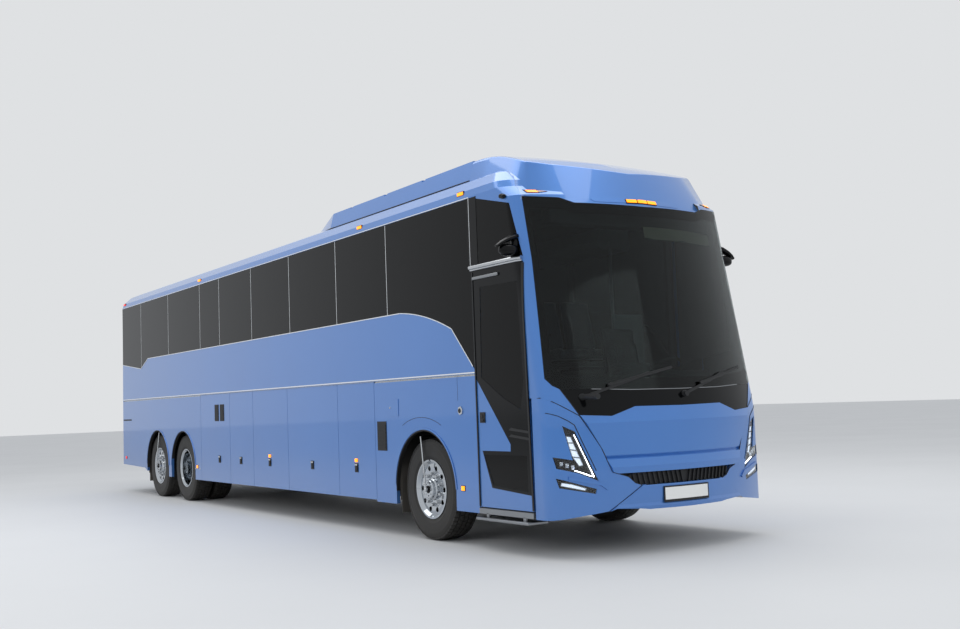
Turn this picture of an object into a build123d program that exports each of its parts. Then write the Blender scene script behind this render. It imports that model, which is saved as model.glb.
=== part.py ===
import os
from math import cos, radians, sin, sqrt

from build123d import *

os.makedirs("parts", exist_ok=True)

# Frame: origin on the ground under the middle, the front faces -Y, +X is the driver's side, +Z is up.

# Body envelope
half_length = 6930.0
hood_relief = 26.0
nose_y = hood_relief - half_length
rail_radius = 10.5
bead_inset = 3.0
tail_y = half_length - rail_radius + bead_inset
half_width = 1300.0
wall = 50.0
bow_radius = 2800.0
corner_radius = 200.0
tail_corner = 180.0
tail_lean = 0.03
shoulder_z = 3400.0
form_bottom = 200.0

# Fits and gaps
door_gap = 3.0
seat_gap = 0.3
running_fit = 0.05
moving_gap = 10.0

# Heights along the side
skirt_z = 360.0
trim_z = 1662.0
window_top_z = 3385.0
deck_z = 1500.0
deck_thickness = 60.0
platform_z = 1050.0
bay_floor_z = 440.0
bay_floor_thickness = 40.0

# Places along the side
door_rear_y = -5430.0
door_front_y = -6337.0
cap_rear_y = -5100.0
side_rear_y = 6730.0
front_axle_y = -4450.0
drive_axle_y = 3300.0
tag_axle_y = 4670.0
hub_z = 522.0
front_arch_y = -4400.0

# Wheels
tyre_radius = 522.0
tyre_width = 290.0
rim_radius = 292.0
track_x = 1122.0
twin_pitch = 330.0
kingpin_x = 930.0
kingpin_radius = 25.0
spindle_radius = 38.0


def save(piece, name):
    """Label one finished piece and write it."""
    piece.part.label = name
    export_step(piece.part, f"parts/{name}.step")


# Body form

# Shoulder of the roof. Columns: rise above the shoulder line, drawn in from the side.
shoulder_rows = ((0, 0), (70, 15), (190, 130), (262, 300))
roof_z = shoulder_z + shoulder_rows[-1][0]

# Front on the centre line. Columns: height, drawn back from the nose.
front_rows = (
    (200, 0.0),
    (1150, 0.0),
    (1200, 1.25),
    (1250, 5.0),
    (1300, 11.25),
    (1350, 20.0),
    (3290, 408.0),
    (3400, 580.0),
    (3662, 740.0),
    (3900, 880.0),
)
brow_z = 3290.0
# The creases of an inner form lie lower by this share of its inset
crease_shift = 0.6


def nose_at(height):
    """Front of the bow on the centre line at a height."""
    for (low, near), (high, far) in zip(front_rows, front_rows[1:]):
        if height <= high:
            break
    share = max(0.0, height - low) / (high - low)
    return nose_y + near + (far - near) * share


def tail_at(height):
    """Rear face at a height."""
    return tail_y - max(0.0, height - trim_z) * tail_lean


def plan(height, inset, drawn=0.0):
    """Plan of the body form: bowed front, straight sides, rounded corners."""
    side = half_width - inset - drawn
    front = nose_at(height + crease_shift * inset) + inset + drawn
    rear = tail_at(height) - inset - drawn
    bow = bow_radius - inset
    edge_y = front + bow - sqrt(bow**2 - side**2)
    with BuildSketch(Plane.XY.offset(height)) as outline:
        with BuildLine():
            ThreePointArc((-side, edge_y), (0, front), (side, edge_y))
            Polyline((side, edge_y), (side, rear), (-side, rear), (-side, edge_y))
        make_face()
        fillet(outline.vertices().group_by(Axis.Y)[-1], tail_corner - inset)
        fillet(outline.vertices().group_by(Axis.Y)[0], corner_radius - inset)
    return outline.sketch


def body_form(inset):
    """Outer form of the whole body drawn in by the inset."""
    with BuildPart() as form:
        front = [height - crease_shift * inset for height, _ in front_rows if form_bottom < height <= brow_z]
        sides = [plan(height, inset) for height in (form_bottom, *front)]
        top = [plan(shoulder_z + rise - inset, inset, drawn) for rise, drawn in shoulder_rows]
        loft(sides + top, ruled=True)
    return form.part


# Dome over the windscreen
dome_foot_z = 3200.0
dome_head_z = 3900.0
# Corners of its plan. Columns: x and y at the foot, x and y at the head.
dome_corners = (
    (0, -6505, 0, -6104),
    (865, -6383, 787, -5975),
    (1160, -6235, 985, -5926),
    (1240, -5891, 997, -5746),
    (1180, cap_rear_y, 998, cap_rear_y),
)
# Its top. Columns: place along the roof, height on the centre line.
dome_crest = ((-6600, 3380), (-6300, 3562), (-6000, 3698), (-5700, 3799), (-5400, 3858), (cap_rear_y, 3875))
dome_round = 45.0
crown_radius = 17200.0


def crown_drop(side):
    """Fall of the crowned roof top at a distance from the centre line."""
    return side**2 / (2 * crown_radius)


def dome_plan(height, corners, inset):
    """Plan of the dome at one height, from its corners on one side."""
    rear = (corners[-1][0], corners[-1][1] + inset)
    with BuildSketch(Plane.XY.offset(height)) as outline:
        with BuildLine():
            Polyline(*corners[:-1], rear, (0, rear[1]), close=True)
        make_face()
        mirror(about=Plane.YZ)
        if inset:
            offset(amount=-inset, kind=Kind.INTERSECTION)
    return outline.sketch


def crest_section(place, crest):
    """Section of the space under the dome's crowned top."""
    edge = crest - crown_drop(half_width)
    with BuildSketch(Plane.XZ.offset(-place)) as section:
        with BuildLine():
            ThreePointArc((-half_width, edge), (0, crest), (half_width, edge))
            Polyline((half_width, edge), (half_width, dome_foot_z), (-half_width, dome_foot_z), (-half_width, edge))
        make_face()
    return section.sketch


def dome_form(inset, rounding=0.0):
    """Raised dome drawn in by the inset, its top edge rounded."""
    with BuildPart() as crest:
        loft([crest_section(place, height - inset) for place, height in dome_crest])
    with BuildPart() as dome:
        foot = [corner[:2] for corner in dome_corners]
        head = [corner[2:] for corner in dome_corners]
        loft([dome_plan(dome_foot_z, foot, inset), dome_plan(dome_head_z, head, inset)], ruled=True)
        add(crest.part, mode=Mode.INTERSECT)
        if rounding:
            top = dome.faces().sort_by(Axis.Z)[-1]
            fillet([edge for edge in top.edges() if edge.center().Y < cap_rear_y - 10], rounding)
    return dome.part


outer_form = body_form(0)
inner_form = body_form(wall)
outer_dome = dome_form(0, dome_round)
inner_dome = dome_form(wall)


def region(low, high):
    """Axis-aligned block between two corners."""
    size = [b - a for a, b in zip(low, high)]
    centre = [(a + b) / 2 for a, b in zip(low, high)]
    with BuildPart() as block:
        with Locations(tuple(centre)):
            Box(*size)
    return block.part


def front_prism(points, grown=0.0, back_y=-5900.0):
    """Prism through the front from a half outline of (x, z), mirrored about the centre."""
    with BuildSketch(Plane.XZ.offset(-back_y)) as half:
        with BuildLine():
            Polyline(*points, close=True)
        make_face()
        mirror(about=Plane.YZ)
        if grown:
            offset(amount=grown, kind=Kind.INTERSECTION)
    with BuildPart() as prism:
        extrude(half.sketch, amount=back_y - nose_y + 200)
    return prism.part


def side_prism(points, side, grown=0.0, depth_low=900.0, depth_high=1400.0):
    """Prism through one side of the body from an outline of (y, z)."""
    with BuildSketch(Plane.YZ.offset(side * depth_low)) as outline:
        with BuildLine():
            Polyline(*points, close=True)
        make_face()
        if grown:
            offset(amount=grown, kind=Kind.INTERSECTION)
    with BuildPart() as prism:
        extrude(outline.sketch, amount=side * (depth_high - depth_low))
    return prism.part


# Front outlines, half of each, as (x, z)
windscreen_top = ((0, 3203), (763, 3213), (899, 3261), (1223, 3275))
windscreen_side = ((1223, 2670), (1265, 1580), (1226, 1517), (1168, 1480))
glass_foot = ((901, 1478), (521, 1461), (0, 1457))
cowl_foot = ((0, 1304), (520, 1310), (760, 1232), (1041, 1250))
hood_side = ((866, 959), (774, 739), (623, 690))
grille_top = ((600, 704), (540, 722), (0, 722))
grille_foot = ((0, 612), (500, 612), (560, 632))
cap_foot_z = 1413.0
dome_front_outline = (*windscreen_top[:2], (856, 3245), (800, 3480), (0, 3480))
dome_back_y = -6300.0
windscreen_outline = windscreen_top + windscreen_side + glass_foot
cowl_outline = ((0, 1457), (521, 1461), (901, 1478), (1168, 1480), (1041, 1250)) + cowl_foot[2::-1]
hood_outline = cowl_foot + hood_side + grille_top
grille_outline = ((0, 722), (540, 722), (600, 704), (623, 690), (560, 632), (500, 612), (0, 612))
bumper_outline = ((0, 607), (495, 607), (815, 399), (760, 418), (530, 405), (440, 394), (0, 390))
corner_outline = (
    (400, 640),
    (815, 399),
    (1400, 325),
    (1400, 1478),
    (1300, 1413),
    (1186, 1339),
    (1041, 1244),
    (866, 959),
    (400, 800),
)
centre_outlines = (cowl_outline, hood_outline, grille_outline, bumper_outline)

# Door and side-glass outlines on the right, as (y, z)
doorway_outline = ((-5430, 395), (-5430, 2665), (-6273, 2665), (-6337, 395))
over_door_outline = ((-5524, 3369), (-6111, 3225), (-6268, 2712), (-5524, 2712))
driver_window_outline = ((-5524, 3369), (-6111, 3225), (-6240, 2712), (-6290, 1830), (-5524, 1700))

# Skin that the bonded glass takes
glass_thickness = 12.0
glass_form = body_form(glass_thickness)
front_box = region((-1400, nose_y - 100, 250), (1400, cap_rear_y, 3900))

with BuildPart() as glass_skin:
    add(outer_form)
    add(front_box, mode=Mode.INTERSECT)
    add(glass_form, mode=Mode.SUBTRACT)

with BuildPart() as front_shell:
    add(outer_form)
    add(front_box, mode=Mode.INTERSECT)
    add(inner_form, mode=Mode.SUBTRACT)

# Front of the dome between the windscreen's top edge and the body's own brow
with BuildPart() as brow_cut:
    add(front_prism(dome_front_outline, 0, dome_back_y))
    add(outer_dome, mode=Mode.SUBTRACT)

with BuildPart() as front_cap:
    add(outer_form)
    add(region((-1400, nose_y - 100, 1200), (1400, cap_rear_y - seat_gap, 3900)), mode=Mode.INTERSECT)
    add(outer_dome)
    add(brow_cut.part, mode=Mode.SUBTRACT)
    add(inner_form, mode=Mode.SUBTRACT)
    add(inner_dome, mode=Mode.SUBTRACT)
    add(region((-1400, door_rear_y, 1000), (1400, cap_rear_y + 100, shoulder_z)), mode=Mode.SUBTRACT)
    add(region((-1400, cap_rear_y - seat_gap, 1000), (1400, cap_rear_y + 900, 3900)), mode=Mode.SUBTRACT)
    add(front_prism(windscreen_outline), mode=Mode.SUBTRACT)
    add(front_prism(corner_outline, seat_gap, -5200), mode=Mode.SUBTRACT)
    add(region((-1400, door_front_y - moving_gap, 1000), (1400, cap_rear_y, cap_foot_z)), mode=Mode.SUBTRACT)
    add(front_prism(cowl_outline, seat_gap), mode=Mode.SUBTRACT)
    add(front_prism(hood_outline, seat_gap), mode=Mode.SUBTRACT)
    add(side_prism(doorway_outline, -1), mode=Mode.SUBTRACT)
    add(side_prism(over_door_outline, -1), mode=Mode.SUBTRACT)
    add(side_prism(driver_window_outline, 1), mode=Mode.SUBTRACT)
save(front_cap, "front_cap")

with BuildPart() as windshield:
    add(glass_skin.part)
    add(front_prism(windscreen_outline, -seat_gap), mode=Mode.INTERSECT)
save(windshield, "windshield")

with BuildPart() as cowl_panel:
    add(front_shell.part)
    add(front_prism(cowl_outline), mode=Mode.INTERSECT)
save(cowl_panel, "cowl_panel")

# Lamp outlines in front view, as (x, z)
headlamp_outline = (
    (1190, 1162),
    (1086, 1108),
    (900, 668),
    (1069, 742),
    (1243, 790),
    (1262, 890),
    (1115, 859),
)
fog_outline = ((1249, 706), (1229, 621), (929, 557), (918, 598), (1123, 665))
lens_form = body_form(8.0)
lamp_back_y = -6400.0
# Fin under each headlamp, as (x, z), and how far it stands proud
fin_outline = ((1160, 716), (880, 652), (822, 602), (834, 588), (890, 630), (1160, 690))
fin_proud = 14.0

with BuildPart() as fin_layer:
    add(body_form(-fin_proud))
    add(front_box, mode=Mode.INTERSECT)
    add(lens_form, mode=Mode.SUBTRACT)

with BuildPart() as headlamps:
    add(front_shell.part)
    add(front_prism(headlamp_outline, 0, lamp_back_y) + front_prism(fog_outline, 0, lamp_back_y), mode=Mode.INTERSECT)
    add(lens_form, mode=Mode.INTERSECT)
save(headlamps, "headlamps")

with BuildPart() as front_corners:
    add(front_shell.part)
    add(front_prism(corner_outline, 0, -5200), mode=Mode.INTERSECT)
    for outline in (*centre_outlines, headlamp_outline, fog_outline):
        add(front_prism(outline, seat_gap, lamp_back_y), mode=Mode.SUBTRACT)
    add(region((-1400, door_front_y - moving_gap, 200), (1400, 0, 1700)), mode=Mode.SUBTRACT)
    add(fin_layer.part & front_prism(fin_outline, 0, lamp_back_y))
save(front_corners, "front_corners")

# Relief of the bowed centre panels. Columns: proud of the bow, height.
hood_profile = ((-8, 1318), (22, 1174), (-2, 885), (-16, 866), (4, 850), (hood_relief, 780), (20, 724))
grille_profile = ((-22, 745), (-22, 596))
bumper_profile = ((2, 630), (16, 598), (8, 450), (24, 424), (16, 380))
bow_axis = Axis((0, nose_y + bow_radius, 0), (0, 0, 1))
bow_half_angle = 30.0


def bowed_panel(profile, thickness):
    """Panel that follows the bow of the front, from its outer profile of (proud, height)."""
    across = Vector(0, -1, 0).rotate(Axis.Z, -bow_half_angle)
    plane = Plane(origin=bow_axis.position, x_dir=across, z_dir=across.cross(Vector(0, 0, 1)))
    outer = [(bow_radius + proud, height) for proud, height in profile]
    inner = [(bow_radius - thickness, height) for height in (profile[-1][1], profile[0][1])]
    with BuildSketch(plane) as section:
        with BuildLine():
            Polyline(*outer, *inner, close=True)
        make_face()
    with BuildPart() as panel:
        revolve(section.sketch, axis=bow_axis, revolution_arc=2 * bow_half_angle)
    return panel.part


for name, profile, outline in (
    ("hood_panel", hood_profile, hood_outline),
    ("front_bumper", bumper_profile, bumper_outline),
):
    with BuildPart() as panel:
        add(bowed_panel(profile, wall))
        add(front_prism(outline, -seat_gap / 2), mode=Mode.INTERSECT)
    save(panel, name)

# Slanted ribs of the grille
rib_count = 22
rib_pitch = 52.0
rib_width = 12.0
rib_lean = 30.0
rib_profile = ((-4, 720), (-4, 612))

with BuildPart() as rib_prisms:
    with BuildSketch(Plane.XZ.offset(-nose_y - 200)):
        for rib in range(rib_count // 2):
            foot = (rib + 0.5) * rib_pitch
            with BuildLine():
                Polyline(
                    (foot, 600),
                    (foot + rib_width, 600),
                    (foot + rib_width + rib_lean, 735),
                    (foot + rib_lean, 735),
                    close=True,
                )
            make_face()
        mirror(about=Plane.YZ)
    extrude(amount=400)

with BuildPart() as grille:
    add(bowed_panel(grille_profile, wall))
    add(bowed_panel(rib_profile, wall) & rib_prisms.part)
    add(front_prism(grille_outline, -seat_gap / 2), mode=Mode.INTERSECT)
save(grille, "grille")

# Glass above the entry door and beside the driver
with BuildPart() as cab_glass:
    add(glass_skin.part)
    add(side_prism(over_door_outline, -1, -seat_gap), mode=Mode.INTERSECT)
with BuildPart() as driver_glass:
    add(glass_skin.part)
    add(side_prism(driver_window_outline, 1, -seat_gap), mode=Mode.INTERSECT)

# Roof

with BuildPart() as roof_shell:
    add(outer_form)
    add(region((-1400, cap_rear_y, shoulder_z + seat_gap), (1400, 7000, 3900)), mode=Mode.INTERSECT)
    add(inner_form, mode=Mode.SUBTRACT)
save(roof_shell, "roof_shell")

unit_front_y = cap_rear_y + seat_gap
unit_rear_y = -1150.0
unit_base_z = roof_z - 100
# Cooling unit on the roof. Columns: place along the roof, half width at the foot, at its top edge,
# height of that edge, crown.
unit_rows = (
    (unit_front_y, 1086, 1012, 3846, 3875),
    (-1800, 1070, 998, 3838, 3866),
    (unit_rear_y, 960, 870, 3720, 3742),
)
# Places of the notches in its top edge
unit_notches = (-4087.0, -3206.0, -2323.0)
notch_half = 38.0
notch_depth = 22.0
marker_seat = body_form(-seat_gap)


def unit_section(place, foot, side, edge, crown):
    """Cross-section of the cooling unit's cover."""
    with BuildSketch(Plane.XZ.offset(-place)) as section:
        with BuildLine():
            Polyline((-side, edge), (-foot, unit_base_z), (foot, unit_base_z), (side, edge))
            ThreePointArc((side, edge), (0, crown), (-side, edge))
        make_face()
    return section.sketch


with BuildPart() as roof_unit:
    for front, rear in zip(unit_rows, unit_rows[1:]):
        loft([unit_section(*front), unit_section(*rear)], ruled=True)
    add(marker_seat, mode=Mode.SUBTRACT)
    for notch_y in unit_notches:
        for inner_x, outer_x in ((-1100, -1000 + notch_depth), (1000 - notch_depth, 1100)):
            add(
                region(
                    (inner_x, notch_y - notch_half, unit_rows[0][3] - notch_depth),
                    (outer_x, notch_y + notch_half, 3900),
                ),
                mode=Mode.SUBTRACT,
            )
save(roof_unit, "roof_unit")

# Rail under the side wall, and the bead that a flap hangs by
bead_radius = 6.0
rail_bore = bead_radius + 0.4
bead_z = trim_z
wall_foot_z = trim_z + rail_radius + seat_gap
rail_slot = 4.5
skirt_top_z = trim_z - sqrt(rail_radius**2 - rail_slot**2) - seat_gap
flap_top_z = trim_z - 17.0
flap_neck = 6.0
hatch_half = 780.0

# Side walls and their bonded glass

side_front_y = door_rear_y
# Lower edge of the black glass band, from the rear to the entry door, as (y, z)
band_rear = ((side_rear_y, 2335), (5580, 2217), (5160, 2380), (-3980, 2380))
band_front = ((-4532, 2294), (-5027, 2137), (-5400, 1745))
band_front_y = -5444.0
# Lines between the panes
pillar_lines = (5550, 4000, 2420, 1560, 280, -1040, -2430, -3700)
pane_seam = 8.0
pillar_half = 45.0
band_depth = glass_thickness + seat_gap


def band_face():
    """Outline of the glass band in side view."""
    with BuildSketch() as band:
        with BuildLine():
            Polyline(*band_rear)
            ThreePointArc(band_rear[-1], band_front[0], band_front[1])
            Polyline(
                band_front[1],
                band_front[2],
                (band_front_y + 6, band_front[2][1] - 45),
                (band_front_y + 6, window_top_z),
                (side_rear_y, window_top_z),
                (side_rear_y, band_rear[0][1]),
            )
        make_face()
    return band.sketch


def pane_face(low_y, high_y, shrink):
    """Part of the band between two pillar lines, drawn in all round."""
    with BuildSketch() as pane:
        add(band_face())
        with Locations(((low_y + high_y) / 2, 2500)):
            Rectangle(high_y - low_y, 3000, mode=Mode.INTERSECT)
        offset(amount=-shrink, kind=Kind.INTERSECTION, mode=Mode.REPLACE)
    return pane.sketch


pane_edges = (side_rear_y, *pillar_lines, side_front_y)
pane_spans = tuple(zip(pane_edges[1:], pane_edges))

for side, word in ((-1, "right"), (1, "left")):
    with BuildPart() as side_wall:
        with BuildSketch(Plane.YZ.offset(side * (half_width - wall))):
            with BuildLine():
                Polyline(
                    (side_front_y, wall_foot_z),
                    (side_rear_y, wall_foot_z),
                    (side_rear_y, shoulder_z),
                    (side_front_y, shoulder_z),
                    close=True,
                )
            make_face()
        extrude(amount=side * wall)
        with BuildSketch(Plane.YZ.offset(side * (half_width - band_depth))):
            add(band_face())
        extrude(amount=side * 2 * band_depth, mode=Mode.SUBTRACT)
        for low_y, high_y in pane_spans:
            with BuildSketch(Plane.YZ.offset(side * (half_width - 2 * wall))):
                add(pane_face(low_y, high_y, pillar_half))
            extrude(amount=side * 3 * wall, mode=Mode.SUBTRACT)
    save(side_wall, f"side_wall_{word}")


# Skirt panels beside the wheels and the luggage doors

arch_rows = ((front_arch_y, 612.0), (3330.0, 592.0), (tag_axle_y, 603.0))
# Raised lip round each arch
lip_width = 22.0
lip_set = 3.0
lip_proud = 7.0
lip_foot = 25.0
door_seams = (2450, 1200, 300, -900, -2390, -3330)
door_thickness = 40.0
skirt_thickness = 40.0

with BuildPart() as skirt_panels:
    for side in (-1, 1):
        with BuildSketch(Plane.YZ.offset(side * (half_width - skirt_thickness))):
            with BuildLine():
                Polyline(
                    (side_front_y, skirt_z - 20),
                    (door_seams[-1] - door_gap, skirt_z - 20),
                    (door_seams[-1] - door_gap, skirt_top_z),
                    (side_front_y, skirt_top_z),
                    close=True,
                )
            make_face()
            with BuildLine():
                Polyline(
                    (door_seams[0] + door_gap, skirt_z),
                    (5100, skirt_z),
                    (5420, skirt_z + 110),
                    (side_rear_y, skirt_z + 140),
                    (side_rear_y, skirt_top_z),
                    (door_seams[0] + door_gap, skirt_top_z),
                    close=True,
                )
            make_face()
            for arch_y, radius in arch_rows:
                with Locations((arch_y, hub_z)):
                    Circle(radius, mode=Mode.SUBTRACT)
                with Locations((arch_y, hub_z - 300)):
                    Rectangle(2 * radius, 600, mode=Mode.SUBTRACT)
        extrude(amount=side * skirt_thickness)
        for arch_y, radius in arch_rows:
            with BuildSketch(Plane.YZ.offset(side * (half_width - 1))):
                with Locations((arch_y, hub_z)):
                    Circle(radius + lip_width)
                    Circle(radius + lip_set, mode=Mode.SUBTRACT)
                with Locations((arch_y, hub_z + lip_foot)):
                    Rectangle(2 * radius + 200, 900, align=(Align.CENTER, Align.MAX), mode=Mode.SUBTRACT)
            extrude(amount=side * (lip_proud + 1))
    with BuildSketch(Plane.YZ.offset(half_width - skirt_thickness)):
        with BuildLine():
            Polyline(
                (door_front_y - moving_gap + seat_gap, skirt_z - 20),
                (side_front_y - seat_gap, skirt_z - 20),
                (side_front_y - seat_gap, cap_foot_z - seat_gap),
                (door_front_y - moving_gap + seat_gap, cap_foot_z - seat_gap),
                close=True,
            )
        make_face()
    extrude(amount=skirt_thickness)
save(skirt_panels, "skirt_panels")

# Luggage doors


def rail_face(place, side):
    """Section of the hook rail: a ring left open from straight down to straight out."""
    with BuildSketch() as section:
        with Locations((place, bead_z)):
            Circle(rail_radius)
            Circle(rail_bore, mode=Mode.SUBTRACT)
        with Locations((place - side * rail_slot, bead_z + rail_slot)):
            Rectangle(40, 40, align=(Align.MIN if side > 0 else Align.MAX, Align.MAX), mode=Mode.SUBTRACT)
    return section.sketch


def flap_face(face, side, thickness, foot_z):
    """Section of a hanging flap: panel, neck and bead."""
    place = face - side * bead_inset
    with BuildSketch() as section:
        with Locations((place, bead_z)):
            Circle(bead_radius)
            Rectangle(flap_neck, bead_z - flap_top_z + 5, align=(Align.CENTER, Align.MAX))
        with Locations((face - side * thickness / 2, foot_z)):
            Rectangle(thickness, flap_top_z - foot_z, align=(Align.CENTER, Align.MIN))
    return section.sketch


with BuildPart() as flap_rails:
    for side in (-1, 1):
        with BuildSketch(Plane.XZ.offset(-side_rear_y)):
            add(rail_face(side * (half_width - bead_inset), side))
        extrude(amount=side_rear_y - side_front_y)
    with BuildSketch(Plane.YZ.offset(-hatch_half)):
        add(rail_face(tail_y - bead_inset, 1))
    extrude(amount=2 * hatch_half)
save(flap_rails, "flap_rails")

for side, word in ((-1, "right"), (1, "left")):
    for number, (rear, front) in enumerate(zip(door_seams, door_seams[1:]), start=1):
        length = rear - front - 2 * door_gap
        with BuildPart() as luggage_door:
            with BuildSketch(Plane.XZ.offset(-(rear - door_gap))):
                add(flap_face(side * half_width, side, door_thickness, skirt_z))
            extrude(amount=length)
        save(luggage_door, f"luggage_door_{word}_{number}")

# Rear end

rear_foot_z = skirt_z + 140
bumper_split_z = 690.0
rear_glass_foot = 2347.0
rear_glass_top = 3250.0
tail_lamp_outline = ((1000, 950), (1170, 990), (1170, 1560), (1000, 1600))
rear_box = region((-1400, side_rear_y + seat_gap, rear_foot_z), (1400, 7000, shoulder_z))


def rear_prism(points, grown=0.0):
    """Prism through the rear from a half outline of (x, z), on both sides."""
    with BuildSketch(Plane.XZ.offset(-7000)) as half:
        with BuildLine():
            Polyline(*points, close=True)
        make_face()
        mirror(about=Plane.YZ)
        if grown:
            offset(amount=grown, kind=Kind.INTERSECTION)
    with BuildPart() as prism:
        extrude(half.sketch, amount=500)
    return prism.part


with BuildPart() as rear_rebate:
    add(region((-1400, side_rear_y + seat_gap, rear_glass_foot), (1400, 7000, rear_glass_top)))
    add(glass_form, mode=Mode.SUBTRACT)

with BuildPart() as rear_wall:
    add(outer_form)
    add(rear_box, mode=Mode.INTERSECT)
    add(inner_form, mode=Mode.SUBTRACT)
    add(region((-1400, 6000, 0), (1400, 7000, bumper_split_z + seat_gap)), mode=Mode.SUBTRACT)
    add(region((-hatch_half, 6000, 0), (hatch_half, 7000, wall_foot_z)), mode=Mode.SUBTRACT)
    add(rear_prism(tail_lamp_outline, seat_gap), mode=Mode.SUBTRACT)
    add(rear_prism(((0, 2450), (1000, 2450), (1000, 3150), (0, 3150))), mode=Mode.SUBTRACT)
    add(rear_rebate.part, mode=Mode.SUBTRACT)
save(rear_wall, "rear_wall")

with BuildPart() as rear_glass:
    add(outer_form)
    add(
        region(
            (-1400, side_rear_y + 2 * seat_gap, rear_glass_foot + seat_gap),
            (1400, 7000, rear_glass_top - seat_gap),
        ),
        mode=Mode.INTERSECT,
    )
    add(glass_form, mode=Mode.SUBTRACT)

with BuildPart() as body_glass:
    add(rear_glass.part)
    add(cab_glass.part)
    add(driver_glass.part)
    for side in (-1, 1):
        for low_y, high_y in pane_spans:
            with BuildSketch(Plane.YZ.offset(side * (half_width - glass_thickness))):
                add(pane_face(low_y, high_y, pane_seam / 2))
            extrude(amount=side * glass_thickness)
save(body_glass, "body_glass")

with BuildPart() as tail_lamps:
    add(outer_form)
    add(rear_prism(tail_lamp_outline), mode=Mode.INTERSECT)
    add(inner_form, mode=Mode.SUBTRACT)
save(tail_lamps, "tail_lamps")

with BuildPart() as rear_bumper:
    add(outer_form)
    add(rear_box, mode=Mode.INTERSECT)
    add(inner_form, mode=Mode.SUBTRACT)
    add(region((-1400, 6000, bumper_split_z), (1400, 7000, 4000)), mode=Mode.SUBTRACT)
save(rear_bumper, "rear_bumper")

with BuildPart() as engine_hatch:
    with BuildSketch(Plane.YZ.offset(moving_gap - hatch_half)):
        add(flap_face(tail_y, 1, door_thickness, bumper_split_z + moving_gap))
    extrude(amount=2 * (hatch_half - moving_gap))
save(engine_hatch, "engine_hatch")

# Underframe: rails, bay floor, bulkheads, posts and waist rails in one welded frame

rail_x = 430.0
rail_width = 80.0
rail_low_z = 700.0
rail_high_z = 900.0
frame_front_y = -6600.0
frame_rear_y = 6600.0
bay_front_y = -3600.0
bay_rear_y = 2560.0
bulkhead = 40.0
post_width = 70.0
post_outer_x = half_width - wall
post_depth = 55.0
bay_half = post_outer_x - seat_gap
waist_low_z = 1560.0
deck_under_z = deck_z - deck_thickness

with BuildPart() as underframe:
    for side in (-1, 1):
        for low_y, high_y in ((frame_front_y, bay_front_y), (bay_rear_y, frame_rear_y)):
            add(
                region(
                    (side * rail_x - rail_width / 2, low_y, rail_low_z),
                    (side * rail_x + rail_width / 2, high_y, rail_high_z),
                )
            )
        inner_x, outer_x = sorted((side * (post_outer_x - post_depth), side * bay_half))
        add(region((inner_x, side_front_y, waist_low_z), (outer_x, side_rear_y, wall_foot_z + 60)))
        for seam_y in door_seams:
            add(
                region(
                    (inner_x, seam_y - post_width / 2, bay_floor_z - 20),
                    (outer_x, seam_y + post_width / 2, waist_low_z + 10),
                )
            )
    for low_y in (bay_front_y, bay_rear_y - bulkhead):
        add(region((-bay_half, low_y, bay_floor_z - 20), (bay_half, low_y + bulkhead, deck_under_z - seat_gap)))
    add(
        region(
            (-bay_half, bay_front_y, bay_floor_z - bay_floor_thickness),
            (bay_half, bay_rear_y, bay_floor_z),
        )
    )
    for cross_y in (frame_front_y, -5600.0, 5450.0, frame_rear_y - 80):
        add(region((-rail_x, cross_y, rail_low_z + 40), (rail_x, cross_y + 80, rail_high_z - 20)))
    for cross_y in (-6300.0, -5300.0):
        add(region((-rail_x - 40, cross_y, rail_high_z - 10), (1200, cross_y + 80, platform_z - 60 - seat_gap)))
save(underframe, "underframe")

# Wheelhouses: open below and outboard

house_skin = 10.0
house_inner_x = 600.0
house_top_z = 1210.0
house_foot_z = 380.0
house_outer_x = half_width - skirt_thickness - seat_gap
house_rows = ((front_axle_y - 650, front_axle_y + 650), (drive_axle_y - 660, tag_axle_y + 640))

with BuildPart() as wheelhouses:
    for side in (-1, 1):
        for low_y, high_y in house_rows:
            inner_x, outer_x = sorted((side * house_inner_x, side * house_outer_x))
            add(region((inner_x, low_y, house_foot_z), (outer_x, high_y, house_top_z)))
            inner_x, outer_x = sorted((side * (house_inner_x + house_skin), side * 1400))
            add(
                region(
                    (inner_x, low_y + house_skin, 300),
                    (outer_x, high_y - house_skin, house_top_z - house_skin),
                ),
                mode=Mode.SUBTRACT,
            )
            inner_x, outer_x = sorted((side * (house_inner_x - 20), side * (house_inner_x + 20)))
            add(region((inner_x, low_y + 60, 300), (outer_x, high_y - 60, 660)), mode=Mode.SUBTRACT)
save(wheelhouses, "wheelhouses")

# Floors: passenger deck, cab platform and the entry stairs

deck_front_y = front_axle_y - 700
deck_half = post_outer_x - post_depth - seat_gap
platform_front_y = -6420.0
platform_edge_x = -520.0
stair_front_y = -6330.0
stair_rear_y = -5436.0
step_edges = ((-1245, 420), (-1010, 630), (-765, 840))

with BuildPart() as floor_deck:
    add(region((-deck_half, deck_front_y, deck_under_z), (deck_half, side_rear_y - 40, deck_z)))
    add(region((-bay_half, deck_front_y - 40, platform_z - 60), (bay_half, deck_front_y, deck_z)))
    add(region((platform_edge_x, platform_front_y, platform_z - 60), (bay_half, deck_front_y, platform_z)))
    for rise, run in ((150, 560), (300, 280)):
        add(region((-300, deck_front_y - 40 - run, platform_z - 10), (300, deck_front_y, platform_z + rise)))
    for edge_x, top_z in step_edges:
        add(region((edge_x, stair_front_y, 340), (platform_edge_x, stair_rear_y, top_z)))
    add(region((platform_edge_x - 10, stair_front_y, 340), (platform_edge_x + 20, stair_rear_y, platform_z)))
    add(region((-half_width, stair_front_y, 340), (-1240, stair_rear_y, 395)))
save(floor_deck, "floor_deck")

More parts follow.
